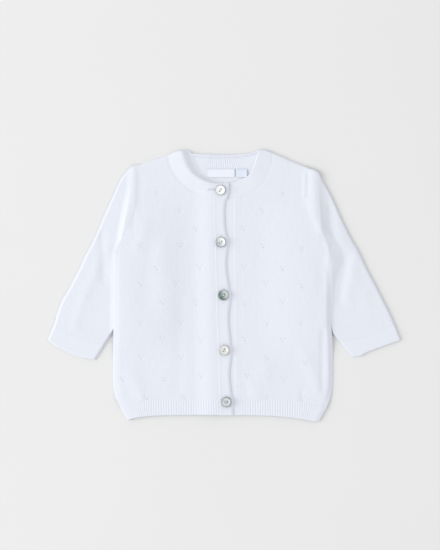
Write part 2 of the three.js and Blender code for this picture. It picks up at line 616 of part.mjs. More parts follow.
const pair = (first, second) => [first.at(-1), second.at(-1)];
const bodyParts = [
  back(),
  front('front_right', {
    low: HEM_SEAM_RIGHT,
    high: SHOULDER_RIGHT,
    start: [BAND_SEAM_RIGHT, NECK_SEAM_RIGHT],
    end: [SIDE_RIGHT, ARMHOLE_UNDER_RIGHT, ARMHOLE_RIGHT],
    raise: overlapLift,
  }),
  front('front_left', {
    low: HEM_SEAM_LEFT,
    high: SHOULDER_LEFT,
    start: [BAND_SEAM_LEFT, NECK_SEAM_LEFT],
    end: [SIDE_LEFT, ARMHOLE_UNDER_LEFT, ARMHOLE_LEFT],
    raise: () => 0,
  }),
  hemRibBack(),
  hemRib('hem_rib_right', {
    low: HEM_EDGE_RIGHT,
    high: HEM_SEAM_RIGHT,
    start: BAND_FOOT_RIGHT,
    end: HEM_END_RIGHT,
    raise: overlapLift,
  }),
  hemRib('hem_rib_left', {
    low: HEM_EDGE_LEFT,
    high: HEM_SEAM_LEFT,
    start: BAND_FOOT_LEFT,
    end: HEM_END_LEFT,
    raise: () => 0,
  }),
];

const neckParts = [
  neckband('neckband_right', {
    seam: [NECK_SEAM_RIGHT_END, NECK_SEAM_RIGHT],
    free: NECK_EDGE_RIGHT,
    start: [NECK_SEAM_RIGHT_END[0], NECK_EDGE_RIGHT[0]],
    end: NECK_FOLD_RIGHT,
    floor: (x) => SECOND_LAYER + overlapLift(x),
  }),
  neckband('neckband_left', {
    seam: [NECK_SEAM_LEFT_END, NECK_SEAM_LEFT],
    free: NECK_EDGE_LEFT,
    start: [NECK_SEAM_LEFT_END[0], NECK_EDGE_LEFT[0]],
    end: NECK_FOLD_LEFT,
    floor: () => SECOND_LAYER,
    ribbed: NECK_RIBS_LEFT,
  }),
  neckband('neckband_back', {
    seam: [BACK_NECK_SEAM],
    free: BACK_NECK_EDGE,
    start: NECK_FOLD_RIGHT,
    end: NECK_FOLD_LEFT,
    floor: () => 0,
    ribbed: NECK_RIBS_BACK,
  }),
];

const bandParts = [
  frontBand('buttonhole_band', {
    low: [BAND_FOOT_RIGHT[0], BAND_EDGE[0]],
    high: pair(BAND_SEAM_RIGHT, BAND_EDGE),
    start: [BAND_FOOT_RIGHT, BAND_SEAM_RIGHT],
    end: [BAND_EDGE],
    floor: SECOND_LAYER + OVERLAP_LIFT,
  }),
  frontBand('button_band', {
    low: [BUTTON_BAND_EDGE[0], BAND_FOOT_LEFT[0]],
    high: BUTTON_BAND_TOP,
    start: [BUTTON_BAND_EDGE],
    end: [BAND_FOOT_LEFT, BAND_SEAM_LEFT],
    floor: SECOND_LAYER,
  }),
];

const sleeveParts = [
  sleeve('sleeve_right', {
    top: SLEEVE_TOP_RIGHT,
    under: SLEEVE_UNDER_RIGHT,
    armhole: reversed(ARMHOLE_RIGHT),
    armholeUnder: reversed(ARMHOLE_UNDER_RIGHT),
    cuffSeam: CUFF_SEAM_RIGHT,
  }),
  sleeve('sleeve_left', {
    top: SLEEVE_TOP_LEFT,
    under: SLEEVE_UNDER_LEFT,
    armhole: reversed(ARMHOLE_LEFT),
    armholeUnder: reversed(ARMHOLE_UNDER_LEFT),
    cuffSeam: CUFF_SEAM_LEFT,
  }),
  cuff('cuff_right', {
    upperSeam: CUFF_SEAM_RIGHT,
    lowerEdge: CUFF_EDGE_RIGHT,
    outerSide: [CUFF_SEAM_RIGHT[0], CUFF_EDGE_RIGHT[0]],
    innerSide: pair(CUFF_SEAM_RIGHT, CUFF_EDGE_RIGHT),
  }),
  cuff('cuff_left', {
    upperSeam: CUFF_SEAM_LEFT,
    lowerEdge: CUFF_EDGE_LEFT,
    outerSide: [CUFF_SEAM_LEFT[0], CUFF_EDGE_LEFT[0]],
    innerSide: pair(CUFF_SEAM_LEFT, CUFF_EDGE_LEFT),
  }),
];

const trims = [
  ...BUTTONS.map((place, i) => button(`button_${i + 1}`, place)),
  tag('label', LABEL, woven),
  tag('size_tab', SIZE_TAB, wovenBlue),
];

// The origin is the middle of the underside of the whole garment.
const group = new THREE.Group();
group.add(...bodyParts, ...neckParts, ...bandParts, ...sleeveParts, ...trims);
const bounds = new THREE.Box3().setFromObject(group);
const middle = bounds.getCenter(new THREE.Vector3());
group.position.set(-middle.x, -middle.y, -bounds.min.z);

export default group;
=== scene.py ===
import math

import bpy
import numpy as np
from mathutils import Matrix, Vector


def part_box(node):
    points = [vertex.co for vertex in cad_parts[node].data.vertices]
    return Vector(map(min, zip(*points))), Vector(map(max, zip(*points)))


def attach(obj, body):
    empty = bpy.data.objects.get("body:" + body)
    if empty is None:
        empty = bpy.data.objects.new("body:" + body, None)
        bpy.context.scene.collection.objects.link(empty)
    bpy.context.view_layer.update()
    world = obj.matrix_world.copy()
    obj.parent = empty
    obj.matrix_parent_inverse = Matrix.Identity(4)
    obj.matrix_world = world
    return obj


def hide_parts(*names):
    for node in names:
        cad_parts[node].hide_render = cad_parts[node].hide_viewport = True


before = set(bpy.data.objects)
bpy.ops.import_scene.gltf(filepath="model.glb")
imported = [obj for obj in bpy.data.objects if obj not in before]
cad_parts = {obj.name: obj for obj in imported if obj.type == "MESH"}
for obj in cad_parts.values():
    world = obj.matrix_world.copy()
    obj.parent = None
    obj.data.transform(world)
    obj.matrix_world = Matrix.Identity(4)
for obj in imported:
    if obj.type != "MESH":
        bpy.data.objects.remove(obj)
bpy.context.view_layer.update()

# A buttoned baby cardigan in white knit, laid flat on its back and seen from straight above.
# Sizes are in millimetres: +X towards the wearer's left, +Y towards the neck, +Z up.
# Right and left are the wearer's, so the right front lies at negative X.

MM = 0.001

# Layers of the solids, which the visible cloth follows
WALL = 1.8
BAND_WALL = 1.6
LAYER_GAP = 0.35
BACK_FACE = 2.0
SECOND_LAYER = WALL + LAYER_GAP
OVERLAP = {"lift": 2.5, "from": -34, "full": -13}
TUCK = {"lift": 4.0, "slack": 0.5, "from": 34, "full": 92}
TUCK_TOP = {"zero": 118, "full": 46}
TUCK_BOTTOM = {"full": -38, "zero": -86}
SLEEVE = {"height": 3.3, "pressed": 2.9, "puff": 0.3, "puff_share": 0.62}
CUFF_HEIGHT = 3.3
# A sleeve's long edges: how far in they are rounded, and their level as a share of the height
EDGE_ROUND = 2.3
EDGE_LEVEL = 0.15
# Where a sleeve falls from the shoulder's roll to its own level: start (x) and width at each y
FALL_RIGHT = {
    "y": [-60, 20, 36, 49, 68.6, 90, 103, 123],
    "start": [117.8, 117.8, 115.5, 110.6, 107.4, 103.1, 101.0, 99.3],
    "width": [6.5, 6.5, 6.5, 6.5, 6.5, 6.5, 6.5, 6.5],
}
FALL_LEFT = {
    "y": [-43, -16, 0, 12, 25, 38, 49, 62, 90, 127],
    "start": [113.5, 114.5, 115.0, 115.0, 115.0, 113.0, 108.5, 104.0, 102.3, 102.3],
    "width": [4.0, 4.0, 5.0, 8.0, 14.0, 16.0, 13.0, 10.5, 10.5, 10.0],
}
SEAM_TUCK = 0.6
# Between these heights on the page the front's edge turns down into the side's fold
TURN_DOWN_RIGHT = {"open": 48, "folded": 12, "width": 7.0, "drop": 3.0, "power": 1.25, "soft": 0.45}
TURN_DOWN_LEFT = {"open": 30, "folded": -18, "width": 5.4, "drop": 3.1, "power": 1.25, "soft": 1.0}
RIM = 1.1
SIDE_DROOP = {"width": 9.0, "drop": 0.45}
# The side's fold is lower at the hem, from one height on the page to the other
HEM_END = {"drop": 1.3, "back_drop": 0.5, "from": -108, "to": -130}

# Visible cloth
CLOTH = 1.3
BAND_CLOTH = 1.2
SEAM_GROOVE = 0.07
STRIP_GROOVE = 0.08
SHOULDER_ROUND = 3.0
CELL = 1.05
RIB_PITCH = 2.7
RIB_HEIGHT = 0.5
RIB_SAMPLES = 6
BAND_RIBS = 6
WALE = 1.35
COURSE = 1.1
# Height of the knit's small waves, and the length, turn and phase of each
COCKLE = 0.018
COCKLE_WAVES = [(7.3, 0.4, 0.3), (9.1, 1.9, 2.1), (11.9, 2.8, 4.4), (17.0, 1.2, 1.0), (5.9, 0.05, 5.2)]
# Depths of the ribbed strips, and the panels' sizes by which their grids are counted
HEM_DEPTH = 15.8
NECKBAND_DEPTH = 15.0
FRONT_SIZE = {"width": 108, "length": 262}
BACK_SIZE = {"width": 220, "length": 268}

# Eyelets stand in a diamond lattice on the fronts
# An eyelet mark is three small holes, at these grid corners (row, column) from its middle
EYELET_HOLES = {(1, -2): 0.27, (1, 2): 0.30, (-2, 0): 0.39}
EYELET_DIMPLE = {"depth": 0.25, "width": 1.3}

# Seams and free edges as points (x, y)
SHOULDER_RIGHT = [(-61.0, 140.9), (-75.1, 136.1), (-85.9, 132.3), (-93.4, 129.6)]
ARMHOLE_UNDER_RIGHT = [(-118.8, 36.2), (-112.3, 48.1), (-105.8, 59.9), (-99.9, 72.9)]
ARMHOLE_RIGHT = [(-99.9, 72.9), (-95.0, 86.9), (-93.6, 101.0), (-93.4, 115.0), (-93.4, 129.6)]
SIDE_RIGHT = [
    (-112.3, -130.7), (-118.3, -118.3), (-120.4, -104.2), (-120.4, -80.5), (-119.9, -48.1),
    (-119.9, 16.7), (-118.8, 36.2),
]
HEM_SEAM_RIGHT = [
    (-5.9, -123.7), (-35.0, -123.7), (-69.7, -123.7), (-86.9, -124.7), (-95.6, -128.0),
    (-104.2, -130.7), (-112.3, -130.7),
]
HEM_END_RIGHT = [(-103.7, -145.3), (-107.5, -139.9), (-112.3, -130.7)]
HEM_EDGE_RIGHT = [(-5.4, -139.6), (-53.5, -139.9), (-80.5, -140.9), (-96.7, -143.1), (-103.7, -145.3)]
BAND_SEAM_RIGHT = [
    (-5.9, -123.7), (-7.0, -85.9), (-9.2, -26.5), (-10.3, 27.5), (-11.9, 70.7), (-12.4, 94.3),
]
BAND_FOOT_RIGHT = [(-5.4, -139.6), (-5.9, -123.7)]
NECK_SEAM_RIGHT = [
    (-12.4, 94.3), (-24.3, 97.7), (-35.1, 102.6), (-45.9, 110.7), (-54.0, 120.4), (-58.9, 130.1),
    (-61.0, 140.9),
]
NECK_EDGE_RIGHT = [
    (5.4, 110.7), (-2.7, 109.6), (-9.2, 109.4), (-17.8, 110.2), (-26.5, 112.9), (-35.1, 118.3),
    (-40.5, 126.9), (-43.2, 135.5), (-45.4, 145.8),
]
NECK_FOLD_RIGHT = [(-61.0, 140.9), (-53.5, 144.6), (-45.4, 145.8)]
SLEEVE_TOP_RIGHT = [
    (-93.4, 129.6), (-101.0, 126.9), (-106.4, 121.0), (-111.8, 113.9), (-121.5, 92.3),
    (-131.2, 70.7), (-140.4, 49.1), (-149.6, 31.9), (-156.6, 16.7), (-167.9, -4.9),
    (-174.4, -15.7), (-179.3, -28.6), (-183.1, -41.9),
]
SLEEVE_UNDER_RIGHT = [
    (-118.8, 36.2), (-121.4, 27.5), (-118.3, 18.9), (-110.7, 9.2), (-103.1, -1.6),
    (-99.9, -13.5), (-104.2, -27.5), (-112.9, -39.4), (-121.5, -51.3), (-129.6, -63.7),
]
CUFF_SEAM_RIGHT = [(-183.1, -41.9), (-165.8, -52.4), (-147.4, -59.9), (-129.6, -63.7)]
CUFF_EDGE_RIGHT = [
    (-190.3, -58.9), (-182.0, -65.3), (-173.3, -69.7), (-156.1, -77.2), (-139.9, -79.9),
]

SHOULDER_LEFT = [(50.2, 144.2), (59.9, 140.4), (70.7, 135.5), (81.5, 131.2), (91.3, 126.9)]
ARMHOLE_UNDER_LEFT = [(114.5, 34.0), (111.2, 42.7), (105.3, 51.3), (98.3, 61.0), (92.3, 71.8)]
ARMHOLE_LEFT = [(92.3, 71.8), (88.6, 84.8), (87.8, 101.0), (88.9, 113.9), (91.3, 126.9)]
SIDE_LEFT = [
    (110.2, -131.2), (115.0, -118.3), (117.2, -102.1), (116.6, -64.3), (115.0, -37.3),
    (115.0, 16.7), (114.5, 34.0),
]
HEM_SEAM_LEFT = [
    (17.8, -123.7), (44.0, -123.7), (70.7, -123.7), (85.9, -124.7), (94.5, -128.0),
    (103.1, -131.2), (110.2, -131.2),
]
HEM_END_LEFT = [(101.5, -146.9), (105.3, -139.9), (110.2, -131.2)]
HEM_EDGE_LEFT = [(17.8, -139.9), (54.5, -140.9), (81.5, -143.9), (94.5, -146.1), (101.5, -146.9)]
BAND_SEAM_LEFT = [(17.8, -123.7), (17.3, -15.7), (17.3, 70.7), (17.8, 95.6)]
BAND_FOOT_LEFT = [(17.8, -139.9), (17.8, -123.7)]
NECK_SEAM_LEFT = [
    (17.8, 95.6), (29.7, 101.5), (38.3, 109.6), (44.8, 118.3), (49.1, 128.0), (50.8, 136.6),
    (50.2, 144.2),
]
NECK_SEAM_LEFT_END = [(-5.9, 93.6), (4.9, 93.9), (17.8, 95.6)]
NECK_EDGE_LEFT = [
    (-5.9, 109.1), (4.9, 110.5), (16.7, 113.9), (25.4, 118.3), (29.7, 124.7), (32.9, 132.3),
    (35.1, 139.9), (36.7, 145.8),
]
NECK_FOLD_LEFT = [(50.2, 144.2), (43.2, 146.5), (36.7, 145.8)]
SLEEVE_TOP_LEFT = [
    (91.3, 126.9), (101.0, 122.6), (105.3, 113.9), (111.8, 103.1), (117.2, 92.3), (126.9, 70.7),
    (137.7, 49.1), (144.2, 38.3), (154.4, 16.7), (163.1, 0.5), (171.2, -15.7), (177.7, -28.6),
    (183.6, -42.1),
]
SLEEVE_UNDER_LEFT = [
    (114.5, 34.0), (117.4, 26.5), (115.0, 18.9), (107.5, 9.2), (99.9, -1.6), (96.7, -13.5),
    (99.9, -24.3), (107.5, -32.5), (112.9, -40.5), (117.2, -52.4), (124.7, -61.0),
]
CUFF_SEAM_LEFT = [(183.6, -42.1), (163.6, -50.2), (144.2, -57.2), (124.7, -61.0)]
CUFF_EDGE_LEFT = [(190.3, -58.9), (172.3, -65.3), (155.0, -71.8), (146.3, -76.1), (137.7, -76.7)]

BACK_NECK_SEAM = [
    (-61.0, 140.9), (-52.4, 135.0), (-37.3, 129.6), (-18.9, 126.9), (0.5, 126.4), (20.0, 127.4),
    (35.1, 131.8), (44.8, 137.7), (50.2, 144.2),
]
BACK_NECK_EDGE = [
    (-45.4, 145.8), (-35.1, 143.1), (-17.8, 142.0), (0.5, 141.5), (16.7, 142.0), (27.5, 143.1),
    (36.7, 145.8),
]
BAND_EDGE = [
    (10.3, -139.9), (9.2, -125.8), (5.9, -96.7), (8.1, -75.1), (7.6, -64.3), (4.9, -35.1),
    (7.0, -12.4), (3.0, 14.6), (2.7, 29.7), (4.9, 47.0), (1.6, 59.9), (0.5, 79.4), (2.2, 93.6),
]
BUTTON_BAND_EDGE = [(-4.4, -139.7), (-5.2, -70), (-6.4, 20), (-7.6, 93.6)]
BUTTON_BAND_TOP = [(-7.6, 93.6), (4.9, 93.9), (17.8, 95.6)]

# Soft ridges of the cloth, and troughs with a negative height, from (x1, y1) to (x2, y2)
FOLD_COLUMNS = ("x1", "y1", "x2", "y2", "width", "height")
ARMHOLE_FOLDS = [
    (-98.2, 124, -99.5, 92, 6.0, 0.9),
    (-101.5, 84, -106, 66, 6.0, 0.6),
    (-97.0, 124, -97.2, 90, 2.4, 0.15),
    (-90.8, 118, -90.4, 80, 3.2, -0.2),
    (97, 124, 97, 88, 8.0, 2.3),
    (98, 76, 104, 60, 6.0, 1.3),
    (86.6, 118, 86.4, 96, 1.8, 0.4),
    (90.6, 122, 90.0, 98, 1.6, -0.4),
    (111.0, 44, 112.0, 24, 2.6, 0.5),
]
BODY_FOLDS = [
    (-86, 64, -92, 40, 8, 0.7),
    (-66, 36, -60, -28, 13, 0.8),
    (88, -78, 102, -112, 8, 0.9),
    (44, -92, 38, -118, 9, 0.7),
    (-100, -96, -88, -120, 8, 0.8),
    (-80, 40, -84, -18, 9, -0.6),
    (-48, -16, -50, -112, 7, -0.45),
    (-104, 30, -104, -60, 9, 0.4),
    (106.0, -50, 105.4, -112, 3.4, -0.8),
    (20, -98, 25, -121, 2.8, -0.22),
    (27.5, -100, 34, -121, 3.4, 0.2),
    (42, -104, 42.5, -121, 3.8, -0.3),
    (-85, -114, -85, -123, 2.6, -0.4),
    (83.7, -114, 83.7, -128, 2.6, -0.4),
    (-97, 78, -99, 62, 2.2, -0.3),
    (104, 26, 105, -6, 6, -0.5),
]
SLEEVE_FOLDS = [
    (114.5, 84, 117, 56, 4.0, -0.5),
    (-129, 38, -150, -10, 7, 0.7),
    (-153, -16, -161, -42, 6, 0.6),
    (140, 12, 153, -18, 7, 0.4),
    (122, 64, 131, 40, 5, 0.5),
    (-132, 54, -130, 8, 5, -1.1),
    (131, 30, 124, -16, 5, -0.9),
    (141, 34, 134, -14, 6, 0.6),
]

BUTTONS = [(-4.5, 102.8), (-4.1, 46.7), (-1.3, -10.3), (-0.5, -69.7), (1.9, -125.5)]
BUTTON = {"radius": 5.6, "thickness": 2.2, "rim": 1.1, "dish": 0.6, "hole": 0.85, "spread": 1.3}
RING_RADIUS = 3.1
# The buttons' darker rims are painted shade, for the shadow round each button's edge.
BUTTON_RIM_SHADE = (0.17, 0.20, 0.23, 1)
BUTTON_LEVEL = SECOND_LAYER + OVERLAP["lift"] + BAND_WALL + 0.5 + LAYER_GAP
LABEL_SOLID = {"left": -19.4, "right": 11.3, "low": 117.5, "high": 124.4}
LABEL = {"left": -19.4, "right": 11.0, "low": 116.8, "high": 125.8}
SIZE_TAB = {"left": 12.4, "right": 24.2, "low": 117.0, "high": 125.8}
LABEL_THICKNESS = 0.8
TAPE = 0.32


# The solids are centred on the origin: the shift from these tables' own origin comes from the label.
def table_shift():
    low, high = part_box("label")
    middle_x = (LABEL_SOLID["left"] + LABEL_SOLID["right"]) / 2
    middle_y = (LABEL_SOLID["low"] + LABEL_SOLID["high"]) / 2
    return np.array([(low.x + high.x) / 2 / MM - middle_x, (low.y + high.y) / 2 / MM - middle_y, 0.0])


SHIFT = table_shift()


def smooth(t):
    t = np.clip(t, 0, 1)
    return t * t * (3 - 2 * t)


# Curves and patches

EDGE_STEPS = 12


def through(table):
    """A smooth line through a table of points."""
    points = np.array(table, float)
    around = np.vstack([points[:1], points, points[-1:]])
    t = np.linspace(0, 1, EDGE_STEPS, endpoint=False)[:, None]
    pieces = []
    for a, b, c, d in zip(around, around[1:], around[2:], around[3:]):
        bend = (2 * a - 5 * b + 4 * c - d) * t**2 + (3 * b - a - 3 * c + d) * t**3
        pieces.append((2 * b + (c - a) * t + bend) / 2)
    return np.vstack(pieces + [points[-1:]])


class Edge:
    """A smooth edge through one or more tables, read along its length from 0 to 1."""

    def __init__(self, *tables):
        self.points = np.vstack([through(table) for table in tables])
        steps = np.linalg.norm(np.diff(self.points, axis=0), axis=1)
        self.reach = np.concatenate([[0], np.cumsum(steps)])
        self.length = self.reach[-1]

    def at(self, t):
        s = np.clip(t, 0, 1) * self.length
        return np.stack([np.interp(s, self.reach, self.points[:, k]) for k in (0, 1)], axis=-1)

    def distance(self, x, y):
        """How far points lie from the edge."""
        nearest = np.full(np.shape(x), np.inf)
        for a, b in zip(self.points, self.points[1:]):
            along = b - a
            square = along @ along
            if square == 0:
                continue
            t = np.clip(((x - a[0]) * along[0] + (y - a[1]) * along[1]) / square, 0, 1)
            away = np.hypot(x - a[0] - t * along[0], y - a[1] - t * along[1])
            nearest = np.minimum(nearest, away)
        return nearest


def patch(low, high, start, end):
    """The plan of a piece, blended from its four edges. u runs from start to end, v from low to high."""

    def plan(u, v):
        u_part, v_part = u[..., None], v[..., None]
        across = start.at(v) * (1 - u_part) + end.at(v) * u_part
        along = low.at(u) * (1 - v_part) + high.at(u) * v_part
        corners = low.at(0) * (1 - u_part) * (1 - v_part) + low.at(1) * u_part * (1 - v_part)
        corners = corners + high.at(0) * (1 - u_part) * v_part + high.at(1) * u_part * v_part
        return across + along - corners

    return plan


def shares(lengths, near, far, count):
    """Grid lines across rows of these lengths: at set distances from both ends, and even ones between."""
    lengths = np.asarray(lengths)[:, None]
    first = np.array(near) / lengths
    last = 1 - np.array(far[::-1]) / lengths
    middle = np.linspace(0, 1, count + 1)[1:-1]
    return np.hstack([first, first[:, -1:] + (last[:, :1] - first[:, -1:]) * middle, last])


def arc_lines(radius, steps=6):
    """Distances from an edge at which an edge rounded to this radius has its grid lines."""
    return [radius * (1 - math.cos(math.pi / 2 * i / steps)) for i in range(steps + 1)]


def panel_grid(plan, width, length, near_u, far_u, near_v, far_v, cell=CELL):
    """Plan points of a panel as rows of columns, about a cell apart and finer along its edges."""
    columns = round((width - near_u[-1] - far_u[-1]) / cell)
    rows = round((length - near_v[-1] - far_v[-1]) / cell)

    def span(first, second):
        return np.linalg.norm(plan(*first) - plan(*second), axis=-1)

    def u_lines(v):
        return shares(span((0 * v, v), (0 * v + 1, v)), near_u, far_u, columns)

    def v_lines(u):
        return shares(span((u, 0 * u), (u, 0 * u + 1)), near_v, far_v, rows)

    v = v_lines(u_lines(np.array([0.5]))[0]).T
    u = u_lines(v.mean(axis=1))
    return plan(u, v)


# Levels of the layers

def tuck_share(y):
    return smooth((TUCK_TOP["zero"] - y) / (TUCK_TOP["zero"] - TUCK_TOP["full"]))


def tuck_lift(x, y):
    """How far the body lies above the table, over the tucked sleeves."""
    over = smooth((np.abs(x) - TUCK["from"]) / (TUCK["full"] - TUCK["from"]))
    below = smooth((y - TUCK_BOTTOM["zero"]) / (TUCK_BOTTOM["full"] - TUCK_BOTTOM["zero"]))
    return TUCK["lift"] * over * tuck_share(y) * below


def slack(x, y):
    climbed = tuck_lift(x, y) / TUCK["lift"]
    return TUCK["slack"] * 4 * climbed * (1 - climbed)


def front_level(x, y):
    return tuck_lift(x, y) + slack(x, y) + SECOND_LAYER + WALL


def edge_share(distance, turn_down):
    """The share of its drop that a turned-down edge has at a distance from its rim."""
    slope = np.clip(1 - distance / turn_down["width"], 0, 1) ** turn_down["power"]
    turn = np.clip(1 - distance / RIM, 0, 1) ** 2
    return turn_down["soft"] * slope + (1 - turn_down["soft"]) * turn


def side_drop(y, turn_down):
    """How far the edge of a front has turned down into a fold at this height on the page."""
    started = smooth((turn_down["open"] - y) / (turn_down["open"] - turn_down["folded"]))
    eased = 1 - smooth((HEM_END["from"] - y) / (HEM_END["from"] - HEM_END["to"]))
    return HEM_END["drop"] * started + (turn_down["drop"] - HEM_END["drop"]) * started * eased


def overlap_lift(x):
    return OVERLAP["lift"] * smooth((x - OVERLAP["from"]) / (OVERLAP["full"] - OVERLAP["from"]))


def no_lift(x):
    return 0 * x


def fold_height(x, y, folds):
    height = 0 * x
    for row in folds:
        fold = dict(zip(FOLD_COLUMNS, row))
        dx = fold["x2"] - fold["x1"]
        dy = fold["y2"] - fold["y1"]
        t = np.clip(((x - fold["x1"]) * dx + (y - fold["y1"]) * dy) / (dx * dx + dy * dy), 0, 1)
        away = np.hypot(x - fold["x1"] - t * dx, y - fold["y1"] - t * dy)
        height = height + fold["height"] * np.exp(-((away / fold["width"]) ** 2))
    return height


def cockle(x, y):
    """The slight unevenness of a hand-flat knit: crossing waves of no common length."""
    height = 0 * x
    for length, turn, phase in COCKLE_WAVES:
        along = x * math.cos(turn) + y * math.sin(turn)
        across = y * math.cos(turn) - x * math.sin(turn)
        height = height + np.sin(2 * math.pi * along / length + phase + 0.8 * np.sin(across / 9.7 + phase))
    return COCKLE * height


def rounded(distance, radius, drop=None):
    """How far a rounded edge drops at a distance from its rim: a quarter of a circle, or of an ellipse."""
    inside = np.clip(1 - distance / radius, 0, 1)
    return (radius if drop is None else drop) * (1 - np.sqrt(np.maximum(1 - inside**2, 0)))


def fall_away(t, power=1.6, hold=0.6):
    """A fall's height from 1 to 0 as t goes from 0 to 1: a sharp upper edge and a soft foot."""
    t = np.clip(t, 0, 1)
    return (1 - t) ** power * (1 + hold * t)


def groove(distance, depth, width):
    return depth * np.exp(-((distance / width) ** 2))


def ribs(position, sharpness=2.2):
    """A rib's height for a position counted in ribs: round crests and narrow grooves."""
    return RIB_HEIGHT * (1 - np.abs(2 * (position % 1) - 1) ** sharpness)


# Meshes

def with_height(plan_points, height):
    return np.concatenate([plan_points, height[..., None]], axis=-1)


def grid_normals(points):
    rows = np.gradient(points, axis=0)
    columns = np.gradient(points, axis=1)
    normal = np.cross(columns, rows)
    normal /= np.maximum(np.linalg.norm(normal, axis=-1, keepdims=True), 1e-9)
    return normal if normal[..., 2].mean() > 0 else -normal


def mesh_piece(name, vertices, faces, material, node=None):
    """A smooth-shaded piece of the garment, which rides on its one body and may stand for a node."""
    mesh = bpy.data.meshes.new(name)
    mesh.from_pydata(((vertices + SHIFT) * MM).tolist(), [], faces)
    mesh.materials.append(material)
    mesh.polygons.foreach_set("use_smooth", [True] * len(mesh.polygons))
    mesh.update()
    mesh.set_sharp_from_angle(angle=math.radians(50))
    piece = bpy.data.objects.new(name, mesh)
    bpy.context.scene.collection.objects.link(piece)
    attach(piece, "root")
    if node:
        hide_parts(node)
    return piece


def shell_faces(rows, columns, upward, holes=()):
    """Faces of a closed shell of two grids, the second under the first, with round holes through it."""
    index = np.arange(rows * columns).reshape(rows, columns)
    open_cells = {(j + dj, i + di) for j, i in holes for dj in (-1, 0) for di in (-1, 0)}
    under = rows * columns
    faces = []

    def face(*corners):
        faces.append(corners if upward else corners[::-1])

    for j in range(rows - 1):
        for i in range(columns - 1):
            if (j, i) in open_cells:
                continue
            a, b, c, d = index[j, i], index[j, i + 1], index[j + 1, i + 1], index[j + 1, i]
            face(a, b, c, d)
            face(d + under, c + under, b + under, a + under)
    border = [index[0, i] for i in range(columns)]
    border += [index[j, -1] for j in range(1, rows)]
    border += [index[-1, i] for i in range(columns - 2, -1, -1)]
    border += [index[j, 0] for j in range(rows - 2, 0, -1)]
    for a, b in zip(border, border[1:] + border[:1]):
        face(a, a + under, b + under, b)
    for j, i in holes:
        rim = [(0, 1), (1, 1), (1, 0), (1, -1), (0, -1), (-1, -1), (-1, 0), (-1, 1)]
        ring = [index[j + dj, i + di] for dj, di in rim]
        for a, b in zip(ring, ring[1:] + ring[:1]):
            face(a, a + under, b + under, b)
    return faces


def open_hole(points, j, i, radius):
    """Draws the grid corners round this one in to a circle."""
    for dj in (-1, 0, 1):
        for di in (-1, 0, 1):
            if dj or di:
                out = points[j + dj, i + di] - points[j, i]
                points[j + dj, i + di] = points[j, i] + out * radius / np.hypot(*out)


def open_eyelets(points, places):
    """Opens the holes of the eyelets in a grid's plan. Returns the grid corners at their middles."""
    corners = []
    for x, y in places:
        away = np.hypot(points[..., 0] - x, points[..., 1] - y)
        j, i = (int(k) for k in np.unravel_index(away.argmin(), away.shape))
        for (rows, columns), radius in EYELET_HOLES.items():
            open_hole(points, j + rows, i + columns, radius)
            corners.append((j + rows, i + columns))
    return corners


def shell(name, top, under, material, node, holes=()):
    rows, columns = top.shape[:2]
    under = np.concatenate([under[..., :2], np.maximum(under[..., 2:], 0)], axis=-1)
    turn = np.cross(top[0, 1] - top[0, 0], top[1, 0] - top[0, 0])[2]
    vertices = np.concatenate([top.reshape(-1, 3), under.reshape(-1, 3)])
    if holes:
        # The corner in the middle of a hole carries no face, so it is taken out.
        kept = np.ones(rows * columns, bool)
        kept[[j * columns + i for j, i in holes]] = False
        kept = np.concatenate([kept, kept])
        number = np.cumsum(kept) - 1
        faces = shell_faces(rows, columns, turn > 0, holes)
        faces = [tuple(int(number[k]) for k in face) for face in faces]
        return mesh_piece(name, vertices[kept], faces, material, node)
    faces = [tuple(int(k) for k in face) for face in shell_faces(rows, columns, turn > 0)]
    return mesh_piece(name, vertices, faces, material, node)


# Materials

class Nodes:
    """Adds shader nodes to a material and joins them."""

    def __init__(self, material):
        material.use_nodes = True
        self.tree = material.node_tree
        self.shader = self.tree.nodes["Principled BSDF"]

    def add(self, kind, inputs=None, **settings):
        node = self.tree.nodes.new(kind)
        for key, value in settings.items():
            setattr(node, key, value)
        for key, value in (inputs or {}).items():
            if isinstance(value, bpy.types.NodeSocket):
                self.tree.links.new(value, node.inputs[key])
            else:
                node.inputs[key].default_value = value
        return node

    def math(self, operation, first, second=0.0, third=0.0):
        inputs = {0: first, 1: second, 2: third}
        return self.add("ShaderNodeMath", inputs, operation=operation).outputs[0]

    def place(self, scale, turn=0.0):
        """Object coordinates turned about the vertical and scaled along each axis."""
        spot = self.add("ShaderNodeTexCoord").outputs["Object"]
        inputs = {"Vector": spot, "Rotation": (0, 0, turn), "Scale": scale}
        return self.add("ShaderNodeMapping", inputs).outputs["Vector"]

    def noise(self, scale, detail=3.0, roughness=0.55):
        inputs = {"Vector": self.place((1, 1, 1)), "Scale": scale, "Detail": detail, "Roughness": roughness}
        return self.add("ShaderNodeTexNoise", inputs).outputs["Fac"]

    def between(self, factor, first, second):
        inputs = {"Factor": factor, 6: first, 7: second}
        return self.add("ShaderNodeMix", inputs, data_type="RGBA").outputs[2]

    def bump(self, height, strength, distance, below=None):
        inputs = {"Height": height, "Strength": strength, "Distance": distance}
        if below is not None:
            inputs["Normal"] = below
        return self.add("ShaderNodeBump", inputs).outputs["Normal"]

    def shade(self, **inputs):
        for key, value in inputs.items():
            socket = self.shader.inputs[key.replace("_", " ")]
            if isinstance(value, bpy.types.NodeSocket):
                self.tree.links.new(value, socket)
            else:
                socket.default_value = value


